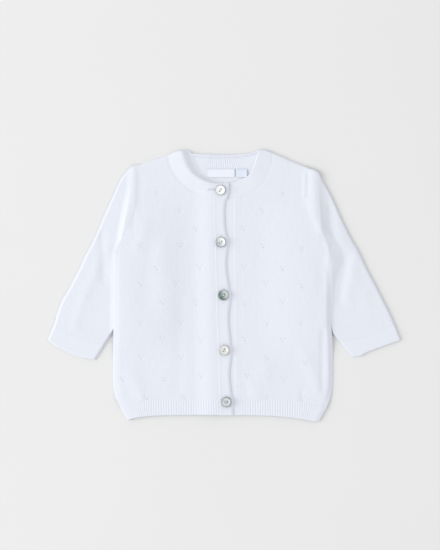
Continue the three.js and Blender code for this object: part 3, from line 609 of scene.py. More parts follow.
def stitches(nodes, turn):
    """Height of stockinette stitches: two slanting legs in each wale."""
    spot = nodes.place((1 / (WALE * MM), 1 / (COURSE * MM), 1), turn)
    axes = nodes.add("ShaderNodeSeparateXYZ", {0: spot}).outputs
    offset = nodes.math("ABSOLUTE", nodes.math("SUBTRACT", nodes.math("FRACT", axes["X"]), 0.5))
    side = nodes.math("SUBTRACT", nodes.math("MULTIPLY", offset, 4.0), 1.0)
    round_leg = nodes.math("SUBTRACT", 1.0, nodes.math("MULTIPLY", side, side))
    slant = nodes.math("ADD", axes["Y"], nodes.math("MULTIPLY", offset, 1.7))
    step = nodes.math("SUBTRACT", nodes.math("FRACT", slant), 0.5)
    round_step = nodes.math("SUBTRACT", 1.0, nodes.math("MULTIPLY", nodes.math("MULTIPLY", step, step), 2.4))
    return nodes.math("MULTIPLY", round_leg, round_step)


def knit_material(name, pale, shade, turn=0.0, stitch_strength=0.35):
    """White cotton knit: stitches with painted shade in their grooves, loose fibres, a slight unevenness of
    tone and a soft sheen.
    """
    material = bpy.data.materials.new(name)
    nodes = Nodes(material)
    height = stitches(nodes, turn)
    blotch = nodes.noise(38.0, 2.0)
    fibre = nodes.noise(2600.0, 2.0)
    # The stitches' grooves take the darker tone: painted shade. The blotches are the yarn's own uneven tone.
    groove_shade_and_blotch = nodes.math("MULTIPLY_ADD", height, 0.45, nodes.math("MULTIPLY", blotch, 0.55))
    tone = nodes.between(groove_shade_and_blotch, shade, pale)
    stitch_bump = nodes.bump(height, stitch_strength, 0.25 * MM)
    nodes.shade(
        Base_Color=tone,
        Roughness=nodes.math("MULTIPLY_ADD", fibre, 0.12, 0.86),
        Normal=nodes.bump(fibre, 0.12, 0.15 * MM, stitch_bump),
        Sheen_Weight=0.12,
        Sheen_Roughness=0.6,
        Specular_IOR_Level=0.2,
    )
    return material


def satin_material(name, pale, shade):
    """A smooth woven label: fine crosswise threads."""
    material = bpy.data.materials.new(name)
    nodes = Nodes(material)
    spot = nodes.place((1 / (0.22 * MM), 1 / (0.32 * MM), 1))
    axes = nodes.add("ShaderNodeSeparateXYZ", {0: spot}).outputs
    warp = nodes.math("PINGPONG", axes["X"], 0.5)
    weft = nodes.math("PINGPONG", axes["Y"], 0.5)
    weave = nodes.math("ADD", warp, weft)
    nodes.shade(
        Base_Color=nodes.between(nodes.math("MULTIPLY_ADD", weave, 0.5, nodes.noise(90.0)), shade, pale),
        Roughness=0.55,
        Normal=nodes.bump(weave, 0.2, 0.06 * MM),
        Specular_IOR_Level=0.35,
        Sheen_Weight=0.1,
    )
    return material


def shell_button_material(name, look, seed):
    """Mother of pearl: drifting layers of tone leaning from dark to pale across the face, whose pale side on
    the third button is a painted highlight, and a rim darkened with painted shade.
    """
    material = bpy.data.materials.new(name)
    nodes = Nodes(material)
    spot = nodes.add("ShaderNodeTexCoord").outputs["Object"]
    layers = nodes.add("ShaderNodeMapping", {
        "Vector": spot, "Location": (seed * 0.37, seed * 0.61, seed * 0.13), "Scale": (1.0, 2.4, 1.0),
    }).outputs["Vector"]
    drift = nodes.add("ShaderNodeTexNoise", {
        "Vector": layers, "Scale": 240.0, "Detail": 2.0, "Roughness": 0.5, "Distortion": 1.2,
    }).outputs["Fac"]
    axes = nodes.add("ShaderNodeSeparateXYZ", {0: spot}).outputs
    plan = nodes.add("ShaderNodeCombineXYZ", {"X": axes["X"], "Y": axes["Y"]}).outputs[0]
    radius = nodes.add("ShaderNodeVectorMath", {0: plan}, operation="LENGTH").outputs["Value"]
    ring = nodes.math("PINGPONG", radius, RING_RADIUS * MM)
    # The tone leans from dark to pale across the face; on the third button this pale side is a painted
    # highlight.
    lean = look["lean"] / (BUTTON["radius"] * MM)
    across = nodes.math("MULTIPLY_ADD", axes["X"], lean, look["bias"] - look["ring"] / 2)
    ringed = nodes.math("MULTIPLY_ADD", ring, look["ring"] / (RING_RADIUS * MM), across)
    tone = nodes.math("MULTIPLY_ADD", drift, 1.1, ringed)
    share = nodes.math("MINIMUM", nodes.math("MAXIMUM", tone, 0.0), 1.0)
    face = nodes.between(share, look["dark"], look["pale"])
    # Darker towards the edge, from 4.6 to 5.15 mm out: painted shade for the shadow round the button's edge.
    rim = nodes.add("ShaderNodeMapRange", {
        "Value": radius, "From Min": 4.6 * MM, "From Max": 5.15 * MM, "To Min": 0.0, "To Max": look["rim"],
    }).outputs[0]
    nodes.shade(
        Base_Color=nodes.between(rim, face, BUTTON_RIM_SHADE),
        Roughness=0.3,
        Coat_Weight=0.35,
        Coat_Roughness=0.12,
        Normal=nodes.bump(drift, 0.08, 0.1 * MM),
    )
    return material


SLEEVE_TURN_RIGHT = math.radians(-27)
SLEEVE_TURN_LEFT = math.radians(27)
# The knit's pale tone, and its darker one: painted shade in the stitches' grooves, and the yarn's own uneven
# tone in the blotches.
PALE = (0.808, 0.836, 0.914, 1)
SHADE = (0.772, 0.800, 0.876, 1)
knit_body = knit_material("knit_body", PALE, SHADE)
# The back's inside is tinted less blue than the other knit: painted light, for the light bounced and the
# shade in the neck's hollow.
knit_inside_painted_bounce = knit_material(
    "knit_inside_painted_bounce", (0.80, 0.84, 0.88, 1), (0.762, 0.802, 0.84, 1), stitch_strength=0.25,
)
knit_sleeve_right = knit_material("knit_sleeve_right", PALE, SHADE, SLEEVE_TURN_RIGHT)
knit_sleeve_left = knit_material("knit_sleeve_left", PALE, SHADE, SLEEVE_TURN_LEFT)
knit_rib = knit_material("knit_rib", PALE, SHADE, stitch_strength=0.25)
sewing_thread = knit_material("sewing_thread", (0.80, 0.82, 0.88, 1), (0.70, 0.72, 0.78, 1))
label_satin = satin_material("label_satin", (0.84, 0.88, 0.96, 1), (0.79, 0.83, 0.92, 1))
tab_satin = satin_material("tab_satin", (0.75, 0.80, 0.92, 1), (0.70, 0.75, 0.89, 1))


# Body panels

def front_piece(
    name, node, low, high, start, side, under_arm, armhole, neck, band, turn_down, raise_by, eyelets,
):
    side_edge = Edge(side, under_arm)
    shoulder = Edge(high)
    arm_seam = Edge(under_arm, armhole)
    hem_seam = Edge(low)
    band_seam = Edge(band)
    neck_seam = Edge(neck)
    plan = patch(hem_seam, shoulder, Edge(*start), Edge(side, under_arm, armhole))
    points = panel_grid(
        plan, **FRONT_SIZE,
        near_u=[0, 0.4, 1.0], far_u=arc_lines(turn_down["width"], 9),
        near_v=[0, 0.4, 1.0], far_v=arc_lines(SHOULDER_ROUND),
    )
    holes = open_eyelets(points, eyelets)
    x, y = points[..., 0], points[..., 1]
    height = front_level(x, y) + raise_by(x)
    height = height + fold_height(x, y, BODY_FOLDS + ARMHOLE_FOLDS) + cockle(x, y)
    from_side = side_edge.distance(x, y)
    height -= edge_share(from_side, turn_down) * side_drop(y, turn_down)
    droop = smooth(1 - from_side / SIDE_DROOP["width"]) * side_drop(y, turn_down) / turn_down["drop"]
    height -= SIDE_DROOP["drop"] * droop
    height -= rounded(shoulder.distance(x, y), SHOULDER_ROUND)
    height -= groove(arm_seam.distance(x, y), SEAM_GROOVE, 1.4)
    height -= groove(hem_seam.distance(x, y), 0.2, 1.5)
    height -= groove(band_seam.distance(x, y), 0.08, 1.4)
    height -= groove(neck_seam.distance(x, y), 0.2, 1.6)
    for j, i in holes:
        away = np.hypot(x - x[j, i], y - y[j, i])
        height -= groove(away, EYELET_DIMPLE["depth"], EYELET_DIMPLE["width"])
    top = with_height(points, np.maximum(height, 0.2))
    under = top - CLOTH * grid_normals(top)
    piece = shell(name, top, under, knit_body, node, holes)
    return piece


EYELETS_RIGHT = [
    (-74.0, 101.0), (-48.1, 81.5), (-29.7, 62.1), (-90.2, 43.7), (-47.0, 43.7), (-72.9, 20.0),
    (-26.5, 20.0), (-90.2, 2.7), (-52.4, 2.7), (-66.4, -17.8), (-29.7, -17.8), (-89.1, -39.4),
    (-45.9, -39.4), (-66.4, -57.8), (-24.3, -57.8), (-90.2, -77.2), (-45.9, -77.2),
    (-109.6, -99.9), (-65.3, -99.9), (-24.3, -96.7), (-83.7, -120.4), (-42.7, -120.4),
]
EYELETS_LEFT = [
    (63.2, 99.9), (40.5, 81.5), (21.1, 62.1), (83.7, 39.4), (41.6, 43.7), (22.1, 20.0),
    (63.2, 18.9), (83.7, 0.5), (44.8, 2.7), (22.1, -17.8), (63.2, -16.7), (82.6, -40.5),
    (45.9, -40.5), (22.1, -57.8), (63.2, -57.8), (47.0, -77.2), (88.0, -82.6), (65.3, -99.9),
    (24.3, -96.7), (45.9, -120.4), (84.8, -121.5),
]

front_piece(
    "front_right_cloth", "front_right", HEM_SEAM_RIGHT, SHOULDER_RIGHT,
    start=(BAND_SEAM_RIGHT, NECK_SEAM_RIGHT), side=SIDE_RIGHT, under_arm=ARMHOLE_UNDER_RIGHT,
    armhole=ARMHOLE_RIGHT, neck=NECK_SEAM_RIGHT, band=BAND_SEAM_RIGHT, turn_down=TURN_DOWN_RIGHT,
    raise_by=overlap_lift, eyelets=EYELETS_RIGHT,
)
front_piece(
    "front_left_cloth", "front_left", HEM_SEAM_LEFT, SHOULDER_LEFT,
    start=(BAND_SEAM_LEFT, NECK_SEAM_LEFT), side=SIDE_LEFT, under_arm=ARMHOLE_UNDER_LEFT,
    armhole=ARMHOLE_LEFT, neck=NECK_SEAM_LEFT, band=BAND_SEAM_LEFT, turn_down=TURN_DOWN_LEFT,
    raise_by=no_lift, eyelets=EYELETS_LEFT,
)


def back_piece():
    inset = 4.4
    plan = patch(
        Edge(HEM_SEAM_RIGHT[::-1], HEM_SEAM_LEFT),
        Edge(SHOULDER_RIGHT[::-1], BACK_NECK_SEAM, SHOULDER_LEFT),
        Edge(SIDE_RIGHT, ARMHOLE_UNDER_RIGHT, ARMHOLE_RIGHT),
        Edge(SIDE_LEFT, ARMHOLE_UNDER_LEFT, ARMHOLE_LEFT),
    )

    def inner(u, v):
        return plan(u + (1 - 2 * u) * inset / 230, v)

    points = panel_grid(
        inner, **BACK_SIZE, near_u=[0, 0.4, 1.0], far_u=[0, 0.4, 1.0],
        near_v=[0, 0.4, 1.0], far_v=[0, 0.4, 1.0], cell=2.4,
    )
    x, y = points[..., 0], points[..., 1]
    sides = Edge(SHOULDER_RIGHT).distance(x, y)
    sides = np.minimum(sides, Edge(SHOULDER_LEFT).distance(x, y))
    top = with_height(points, tuck_lift(x, y) + WALL - rounded(sides, 1.2))
    under = with_height(points, tuck_lift(x, y))
    piece = shell("back_cloth", top, under, knit_inside_painted_bounce, "back")
    return piece


back_piece()


# Ribbed bands

TOPS = {}


def ribbed_strip(
    name, node, plan, width, length, floor, rib_count,
    across=False, edge_radius=1.1, edge_drop=None, lift=None, cell=1.0, rib_scale=1.0, ridge=None,
):
    """A ribbed band. Ribs lie along v and follow each other along u, or with across the other way round."""
    if across:
        u = np.linspace(0, 1, round(length / cell) + 1)
        fine = np.linspace(0, 1, rib_count * RIB_SAMPLES + 1)
        v = np.union1d(fine, 1 - np.array(arc_lines(edge_radius, 6)) / width)
    else:
        u = np.linspace(0, 1, rib_count * RIB_SAMPLES + 1)
        last = arc_lines(edge_radius, 5) if edge_radius else [0, 0.5, 1.2, 2.0]
        v = shares(np.array([width]), [0, 0.3, 0.7], last, round(width / cell))[0]
    u_grid, v_grid = np.meshgrid(u, v)
    points = plan(u_grid, v_grid)
    x, y = points[..., 0], points[..., 1]
    from_seam = v_grid * width
    from_rim = (1 - v_grid) * width
    fade = smooth(from_seam / 2.0) * smooth(from_rim / 2.0)
    fade = fade * (rib_scale(u_grid) if callable(rib_scale) else rib_scale)
    base = floor(x, y) + BAND_WALL + RIB_HEIGHT / 2
    base = base - groove(from_seam, STRIP_GROOVE, 1.2)
    if edge_radius:
        base = base - rounded(from_rim, edge_radius, edge_drop)
    if lift:
        base = base + lift(u_grid, v_grid)
    if ridge:
        base = base + groove(from_seam - ridge["at"], ridge["height"], ridge["width"])
    relief = (ribs((v_grid if across else u_grid) * rib_count) - RIB_HEIGHT / 2) * fade
    smooth_top = with_height(points, base)
    under = smooth_top - BAND_CLOTH * grid_normals(smooth_top)
    top = with_height(points, np.maximum(base + relief, 0.2))
    piece = shell(name, top, under, knit_rib, node)
    TOPS[name] = top
    return piece


def level_at(name, x, y):
    """Height of a ribbed band's face at a place."""
    top = TOPS[name]
    away = np.hypot(top[..., 0] - x, top[..., 1] - y)
    return top[..., 2].flat[away.argmin()]


class UprightEdge:
    """A hem's free edge, read so that the ribs stand upright and lean in only near the side."""

    def __init__(self, seam, edge):
        self.edge = edge
        self.stretch = seam.length / edge.length

    def at(self, t):
        lean = smooth((np.asarray(t) - 0.65) / 0.35)
        return self.edge.at(self.stretch * t - (self.stretch - 1) * lean)


def hem_rib(name, node, seam, edge, foot, end, turn_down, raise_by):
    low = Edge(seam)
    plan = patch(low, UprightEdge(low, Edge(edge)), Edge(foot[::-1]), Edge(end[::-1]))

    def rib_scale(u):
        """The ribs are pulled flat towards the side."""
        return 0.1 + 0.8 * smooth(((1 - u) * low.length - 9) / 13)

    def lift(u, v):
        return -HEM_END["drop"] * edge_share((1 - u) * low.length, turn_down)

    return ribbed_strip(
        name, node, plan, HEM_DEPTH, low.length,
        lambda x, y: SECOND_LAYER + raise_by(x), round(low.length / RIB_PITCH),
        rib_scale=rib_scale, lift=lift,
    )


hem_rib("hem_rib_right_cloth", "hem_rib_right", HEM_SEAM_RIGHT, HEM_EDGE_RIGHT, BAND_FOOT_RIGHT,
        HEM_END_RIGHT, TURN_DOWN_RIGHT, overlap_lift)
hem_rib("hem_rib_left_cloth", "hem_rib_left", HEM_SEAM_LEFT, HEM_EDGE_LEFT, BAND_FOOT_LEFT,
        HEM_END_LEFT, TURN_DOWN_LEFT, no_lift)


def hem_rib_back():
    low = Edge(HEM_SEAM_RIGHT[::-1], HEM_SEAM_LEFT)
    high = Edge(HEM_EDGE_RIGHT[::-1], HEM_EDGE_LEFT)
    plan = patch(low, high, Edge(HEM_END_RIGHT[::-1]), Edge(HEM_END_LEFT[::-1]))

    def lift(u, v):
        return -HEM_END["back_drop"] * edge_share(np.minimum(u, 1 - u) * low.length, TURN_DOWN_LEFT)

    return ribbed_strip(
        "hem_rib_back_cloth", "hem_rib_back", plan, HEM_DEPTH, low.length,
        lambda x, y: 0 * x, round(low.length / RIB_PITCH), lift=lift,
    )


hem_rib_back()


def drawn_in(table, widths, centre=(-4, 142)):
    """Points moved towards the middle of the neck opening by these widths."""
    moved = []
    for (x, y), width in zip(table, widths):
        dx, dy = centre[0] - x, centre[1] - y
        reach = math.hypot(dx, dy)
        moved.append((x + dx / reach * width, y + dy / reach * width))
    return moved


def front_neckband(
    name, node, seam_end, neck_seam, edge, fold, end, facing, level, rise, rib_scale,
):
    """One side of the front neckband: it stands up a little, and its inner face turns down to the back."""
    seam = Edge(seam_end, neck_seam)
    rim = drawn_in(edge, facing)
    plan = patch(seam, Edge(rim), Edge(end + [rim[0]]), Edge(fold + [rim[-1]]))
    u_marks = np.linspace(0, 1, len(facing))

    def face_width(u):
        return np.interp(u, u_marks, facing)

    def lift(u, v):
        x, y = plan(u, v)[..., 0], plan(u, v)[..., 1]
        raised = rise["start"] + (rise["full"] - rise["start"]) * smooth((u - rise["from"]) / 0.35)
        raised = raised * np.minimum(1, v * (NECKBAND_DEPTH + face_width(u)) / 13) ** 1.1
        high = level(x, y) + BAND_WALL + raised - BACK_FACE
        distance = (1 - v) * (NECKBAND_DEPTH + face_width(u))
        end_distance = u * seam.length
        drop = (1 - fall_away(1 - distance / face_width(u), 2.4, 1.8)) * high
        turned_over = rounded((1 - u) * seam.length, SHOULDER_ROUND, 2.2)
        turned_over = turned_over * np.clip(raised - drop + 2.0, 0, 6) / 2.2
        return raised - drop - rounded(end_distance, 2.4, 2.0) * (v > 0) - turned_over

    return ribbed_strip(
        name, node, plan, NECKBAND_DEPTH + float(np.mean(facing)), seam.length, level,
        round(seam.length / RIB_PITCH), edge_radius=None, lift=lift, rib_scale=rib_scale,
    )


def neckbands():
    front_neckband(
        "neckband_right_cloth", "neckband_right", [(2.6, 93.6), (-4.0, 93.7), (-12.4, 94.3)],
        NECK_SEAM_RIGHT, NECK_EDGE_RIGHT, NECK_FOLD_RIGHT, [(2.6, 93.6), (4.6, 98.0), (5.4, 104.0)],
        [1.0, 1.4, 2.2, 4.2, 6.6, 9.2, 10.6, 10.5, 8.5],
        lambda x, y: SECOND_LAYER + overlap_lift(x),
        {"start": 0.2, "full": 3.3, "from": 0.22}, rib_scale=0.25,
    )
    front_neckband(
        "neckband_left_cloth", "neckband_left", NECK_SEAM_LEFT_END,
        NECK_SEAM_LEFT, NECK_EDGE_LEFT, NECK_FOLD_LEFT, [NECK_SEAM_LEFT_END[0]],
        [0.5, 0.5, 0.5, 0.6, 0.7, 0.8, 0.8, 0.7],
        lambda x, y: SECOND_LAYER + 0 * x,
        {"start": 0.0, "full": 1.2, "from": 0.35}, rib_scale=0.28,
    )
    seam = Edge(BACK_NECK_SEAM)
    plan = patch(seam, Edge(BACK_NECK_EDGE), Edge(NECK_FOLD_RIGHT), Edge(NECK_FOLD_LEFT))

    def back_rim(u, v):
        distance = (1 - v) * NECKBAND_DEPTH
        return groove(distance - 2.4, 0.9, 2.4) - groove(distance - 4.8, 0.9, 0.55)

    ribbed_strip(
        "neckband_back_cloth", "neckband_back", plan, NECKBAND_DEPTH, seam.length,
        lambda x, y: 0 * x, round(seam.length / 2.54),
        edge_radius=2.6, edge_drop=1.6, lift=back_rim,
        rib_scale=lambda u: 0.2 + 0.8 * smooth(2.2 - 10 * np.abs(u - 0.52)),
    )


neckbands()


def front_band(
    name, node, start, end, foot, head, floor, width, edge_radius, edge_drop, rib_scale, ridge,
):
    plan = patch(Edge(start), Edge(end), Edge(foot), Edge(head))
    length = Edge(start).length
    return ribbed_strip(
        name, node, plan, width, length, lambda x, y: floor + 0 * x, BAND_RIBS,
        across=True, edge_radius=edge_radius, edge_drop=edge_drop, cell=1.2, rib_scale=rib_scale,
        ridge=ridge,
    )


band_seam_right = BAND_FOOT_RIGHT + BAND_SEAM_RIGHT[1:]
band_seam_left = BAND_FOOT_LEFT + BAND_SEAM_LEFT[1:]
front_band(
    "buttonhole_band_cloth", "buttonhole_band", band_seam_right, BAND_EDGE,
    [BAND_FOOT_RIGHT[0], BAND_EDGE[0]], [BAND_SEAM_RIGHT[-1], BAND_EDGE[-1]],
    SECOND_LAYER + OVERLAP["lift"] - 0.2, 15,
    edge_radius=3.8, edge_drop=2.3, rib_scale=0.12,
    ridge={"at": 1.5, "height": 0.26, "width": 1.4},
)
front_band(
    "button_band_cloth", "button_band", band_seam_left, BUTTON_BAND_EDGE,
    [BAND_FOOT_LEFT[0], BUTTON_BAND_EDGE[0]], BUTTON_BAND_TOP[::-1],
    SECOND_LAYER, 24, edge_radius=1.4, edge_drop=1.4, rib_scale=0.15,
    ridge={"at": 4.9, "height": 0.22, "width": 1.4},
)


# Sleeves and cuffs

def tube_piece(name, node, upper, lower, material, wall):
    """A flattened tube, open at both ends, from grids of its upper and lower surface points."""
    rings = np.concatenate([upper, lower[:, ::-1][:, 1:-1]], axis=1)
    around = np.roll(rings, -1, axis=1) - np.roll(rings, 1, axis=1)
    along = np.gradient(rings, axis=0)
    normal = np.cross(around, along)
    normal /= np.maximum(np.linalg.norm(normal, axis=-1, keepdims=True), 1e-9)
    facing = np.ones(rings.shape[1])
    facing[upper.shape[1]:] = -1
    turned_in = normal[..., 2] * facing < 0
    outward = turned_in.mean() < 0.5
    normal = np.where(turned_in[..., None], -normal, normal)
    inner = rings - wall * normal
    inner[..., 2] = np.maximum(inner[..., 2], 0.1)
    count, size = rings.shape[:2]
    vertices = np.concatenate([rings.reshape(-1, 3), inner.reshape(-1, 3)])
    under = count * size
    faces = []

    def face(*corners):
        faces.append(corners[::-1] if outward else corners)

    for i in range(size):
        k = (i + 1) % size
        for j in range(count - 1):
            a, b, c, d = j * size + i, j * size + k, (j + 1) * size + k, (j + 1) * size + i
            face(a, d, c, b)
            face(a + under, b + under, c + under, d + under)
        last = (count - 1) * size
        face(i, k, k + under, i + under)
        face(last + i, last + i + under, last + k + under, last + k)
    return mesh_piece(name, vertices, faces, material, node)


def sleeve(name, node, top, under, armhole, under_arm, side, cuff_seam, fall_line, turn_down, material):
    def tucked(point):
        """A point of the seam, moved a little under the front."""
        return (point[0] - math.copysign(SEAM_TUCK, point[0]), point[1])

    seam = Edge([tucked(point) for point in armhole[::-1]], [tucked(point) for point in under_arm[::-1]])
    outer = Edge([tucked(top[0])] + top[1:])
    inner = Edge([tucked(under[0])] + under[1:])
    body_edge = Edge(side, under_arm, armhole).points
    plan = patch(seam, Edge(cuff_seam), outer, inner)
    beside = Edge(armhole[::-1], under_arm[::-1], side[::-1]).at(np.linspace(0, 1, 420))
    beside_level = front_level(beside[:, 0], beside[:, 1]) - side_drop(beside[:, 1], turn_down)
    v = np.linspace(0, 1, round(outer.length / 1.2) + 1)
    width = np.linalg.norm(plan(0 * v, v) - plan(0 * v + 1, v), axis=-1)
    lines = shares(width, arc_lines(EDGE_ROUND, 7), arc_lines(EDGE_ROUND, 7), 56)
    v = np.broadcast_to(v[:, None], lines.shape)
    points = plan(lines, v)
    x, y = points[..., 0], points[..., 1]
    away = np.hypot(x[..., None] - beside[:, 0], y[..., None] - beside[:, 1])
    level = beside_level[away.argmin(axis=-1)]
    from_seam = seam.distance(x, y)
    side_x = np.interp(y, body_edge[:, 1], np.abs(body_edge[:, 0]))
    under_body = smooth((side_x - np.abs(x)) / 3)
    start = np.interp(y, fall_line["y"], fall_line["start"])
    fall = fall_away((np.abs(x) - start) / np.interp(y, fall_line["y"], fall_line["width"]))
    fall = fall * (1 - under_body)
    puff = np.sin(math.pi * np.minimum(1, lines / SLEEVE["puff_share"])) * np.sin(math.pi * v)
    thick = SLEEVE["height"] - (SLEEVE["height"] - SLEEVE["pressed"]) * under_body + SLEEVE["puff"] * puff
    from_outer = lines * width[:, None]
    from_inner = (1 - lines) * width[:, None] + EDGE_ROUND * (1 - smooth(v * inner.length / 30))
    edge = np.minimum(1, np.minimum(from_outer, from_inner) / EDGE_ROUND)
    round_part = np.sqrt(1 - (1 - edge) ** 2)
    lifted = np.maximum(level + fold_height(x, y, ARMHOLE_FOLDS), thick) * fall
    base = np.maximum(0, lifted - 2 * WALL)
    upper = thick * (1 - fall) + lifted
    middle = base + (upper - base) * EDGE_LEVEL
    relief = fold_height(x, y, SLEEVE_FOLDS) + cockle(x, y)
    relief = relief * smooth(np.minimum(from_outer, from_inner) / 4) * smooth(from_seam / 6)
    relief = relief * (1 - under_body) - groove(from_seam, SEAM_GROOVE, 1.4)
    top_points = with_height(points, middle + (upper - middle) * round_part + relief)
    low_points = with_height(points, middle - (middle - base) * round_part)
    piece = tube_piece(name, node, top_points, low_points, material, 1.1)
    return piece


sleeve(
    "sleeve_right_cloth", "sleeve_right", SLEEVE_TOP_RIGHT, SLEEVE_UNDER_RIGHT, ARMHOLE_RIGHT,
    ARMHOLE_UNDER_RIGHT, SIDE_RIGHT, CUFF_SEAM_RIGHT, FALL_RIGHT, TURN_DOWN_RIGHT, knit_sleeve_right,
)
sleeve(
    "sleeve_left_cloth", "sleeve_left", SLEEVE_TOP_LEFT, SLEEVE_UNDER_LEFT, ARMHOLE_LEFT,
    ARMHOLE_UNDER_LEFT, SIDE_LEFT, CUFF_SEAM_LEFT, FALL_LEFT, TURN_DOWN_LEFT, knit_sleeve_left,
)


def cuff(name, node, seam, edge):
    low, high = Edge(seam), Edge(edge)
    depth = 16
    plan = patch(low, high, Edge([seam[0], edge[0]]), Edge([seam[-1], edge[-1]]))
    rib_count = round(low.length / RIB_PITCH)
    rounding = np.array(arc_lines(EDGE_ROUND, 6)) / low.length
    lines = np.union1d(np.linspace(0, 1, rib_count * RIB_SAMPLES + 1), rounding)
    lines = np.union1d(lines, 1 - rounding)
    rows = np.linspace(0, 1, 14)
    rows = np.union1d(rows, 1 - np.array(arc_lines(1.2, 5)) / depth)
    t, v = np.meshgrid(lines, rows)
    points = plan(t, v)
    from_rim = (1 - v) * depth
    edge_distance = np.minimum(t, 1 - t) * low.length
    round_part = np.sqrt(1 - (1 - np.minimum(1, edge_distance / EDGE_ROUND)) ** 2)
    middle = CUFF_HEIGHT * EDGE_LEVEL
    tall = CUFF_HEIGHT - middle - 1.4 * rounded(from_rim, 1.2)
    fade = smooth(v * depth / 2) * smooth(from_rim / 1.8) * smooth(edge_distance / 2)
    relief = ribs(t * rib_count) * fade * 0.2 - groove(v * depth, 0.2, 0.9)
    upper = with_height(points, middle + tall * round_part + relief)
    lower = with_height(points, middle * (1 - round_part))
    piece = tube_piece(name, node, upper, lower, knit_rib, 1.0)
    return piece


cuff("cuff_right_cloth", "cuff_right", CUFF_SEAM_RIGHT, CUFF_EDGE_RIGHT)
cuff("cuff_left_cloth", "cuff_left", CUFF_SEAM_LEFT, CUFF_EDGE_LEFT)


# Labels

def tag_piece(name, node, box, material, end_rise):
    """A woven tape folded at its lower edge: two layers, a little bowed, open at the neck seam."""
    gap = LABEL_THICKNESS - 2 * TAPE
    turn_radius = (gap + TAPE) / 2
    length = box["high"] - box["low"] - turn_radius - TAPE / 2
    straight = [(box["high"] - length * k / 10, turn_radius) for k in range(10)]
    bend = [math.pi / 2 - math.pi * k / 8 for k in range(9)]
    middle = box["high"] - length
    turned_part = [(middle - turn_radius * math.cos(a), turn_radius * math.sin(a)) for a in bend]
    path = np.array(straight + turned_part + [(y, -z) for y, z in straight[::-1]])
    out = np.gradient(path, axis=0)
    out = np.stack([out[:, 1], -out[:, 0]], axis=-1) / np.linalg.norm(out, axis=1, keepdims=True)
    u = np.linspace(0, 1, 32)
    x = box["left"] + (box["right"] - box["left"]) * u

    def side(offset):
        line = path + offset * out
        down = (box["high"] - line[:, :1]) / (box["high"] - box["low"])
        bow = (0.25 * np.sin(math.pi * u) + end_rise * u**3) * down
        level = SECOND_LAYER + LABEL_THICKNESS / 2 + line[:, 1:] + bow
        return np.stack([x + 0 * level, line[:, :1] + 0 * level, level], axis=-1)

    top, under = side(TAPE / 2), side(-TAPE / 2)
    piece = shell(name, top, under, material, node)
    return piece


tag_piece("label_cloth", "label", LABEL, label_satin, 0.0)
tag_piece("size_tab_cloth", "size_tab", SIZE_TAB, tab_satin, 1.6)


# Buttons

def turned(profile, sides):
    """A closed body turned about the vertical from (radius, height) points, from the axis to the axis."""
    vertices = [(0, 0, profile[0][1]), (0, 0, profile[-1][1])]
    rings = profile[1:-1]
    for radius, height in rings:
        for k in range(sides):
            angle = 2 * math.pi * k / sides
            vertices.append((radius * math.cos(angle), radius * math.sin(angle), height))
    faces = []
    for k in range(sides):
        after = (k + 1) % sides
        faces.append((0, 2 + after, 2 + k))
        last = 2 + (len(rings) - 1) * sides
        faces.append((1, last + k, last + after))
        for j in range(len(rings) - 1):
            a = 2 + j * sides
            faces.append((a + k, a + after, a + sides + after, a + sides + k))
    return np.array(vertices, float), faces


def button_mesh():
    """A polished shell button with a rim, a dished middle and two thread holes."""
    radius, thick, rim, dish = (BUTTON[key] for key in ("radius", "thickness", "rim", "dish"))
    profile = [(0, 0), (radius - 1.2, 0), (radius - 0.5, 0.25), (radius - 0.08, 0.75), (radius, 1.2)]
    profile += [(radius - 0.12, thick - 0.35), (radius - 0.4, thick - 0.06), (radius - 0.65, thick)]
    profile += [(radius - rim, thick - 0.06), (radius - rim - 0.5, thick - dish * 0.6)]
    profile += [(radius - rim - 1.1, thick - dish), (0, thick - dish)]
    vertices, faces = turned(profile, 56)
    mesh = bpy.data.meshes.new("button_body")
    mesh.from_pydata((vertices * MM).tolist(), [], faces)
    body = bpy.data.objects.new("button_body", mesh)
    bpy.context.scene.collection.objects.link(body)
    for side in (-1, 1):
        hole_profile = [(0, -1), (BUTTON["hole"], -1), (BUTTON["hole"], thick + 1), (0, thick + 1)]
        hole_vertices, hole_faces = turned(hole_profile, 20)
        hole_vertices[:, 0] += side * BUTTON["spread"]
        hole_mesh = bpy.data.meshes.new("button_hole")
        hole_mesh.from_pydata((hole_vertices * MM).tolist(), [], hole_faces)
        hole = bpy.data.objects.new("button_hole", hole_mesh)
        bpy.context.scene.collection.objects.link(hole)
        cut = body.modifiers.new("cut", "BOOLEAN")
        cut.object = hole
        cut.operation = "DIFFERENCE"
        cut.solver = "EXACT"
        bpy.context.view_layer.update()
        made = bpy.data.meshes.new_from_object(body.evaluated_get(bpy.context.evaluated_depsgraph_get()))
        body.modifiers.clear()
        body.data = made
        bpy.data.objects.remove(hole)
    mesh = body.data
    bpy.data.objects.remove(body)
    return mesh


def strands(name, paths, radius, sides=6):
    """Round threads along paths of points."""
    vertices, faces = [], []
    for path in paths:
        path = np.array(path, float)
        along = np.gradient(path, axis=0)
        along /= np.linalg.norm(along, axis=1, keepdims=True)
        right = np.cross(along, (0.31, 0.17, 0.93))
        right /= np.linalg.norm(right, axis=1, keepdims=True)
        over = np.cross(right, along)
        first = len(vertices)
        for k in range(len(path) * sides):
            step, angle = k // sides, 2 * math.pi * (k % sides) / sides
            out = math.cos(angle) * right[step] + math.sin(angle) * over[step]
            vertices.append(path[step] + radius * out)
        for step in range(len(path) - 1):
            for k in range(sides):
                a, b = first + step * sides + k, first + step * sides + (k + 1) % sides
                faces.append((a, a + sides, b + sides, b))
        faces.append(tuple(first + k for k in range(sides)))
        faces.append(tuple(first + (len(path) - 1) * sides + k for k in range(sides))[::-1])
    mesh = bpy.data.meshes.new(name)
    mesh.from_pydata((np.array(vertices) * MM).tolist(), [], faces)
    mesh.polygons.foreach_set("use_smooth", [True] * len(mesh.polygons))
    return mesh


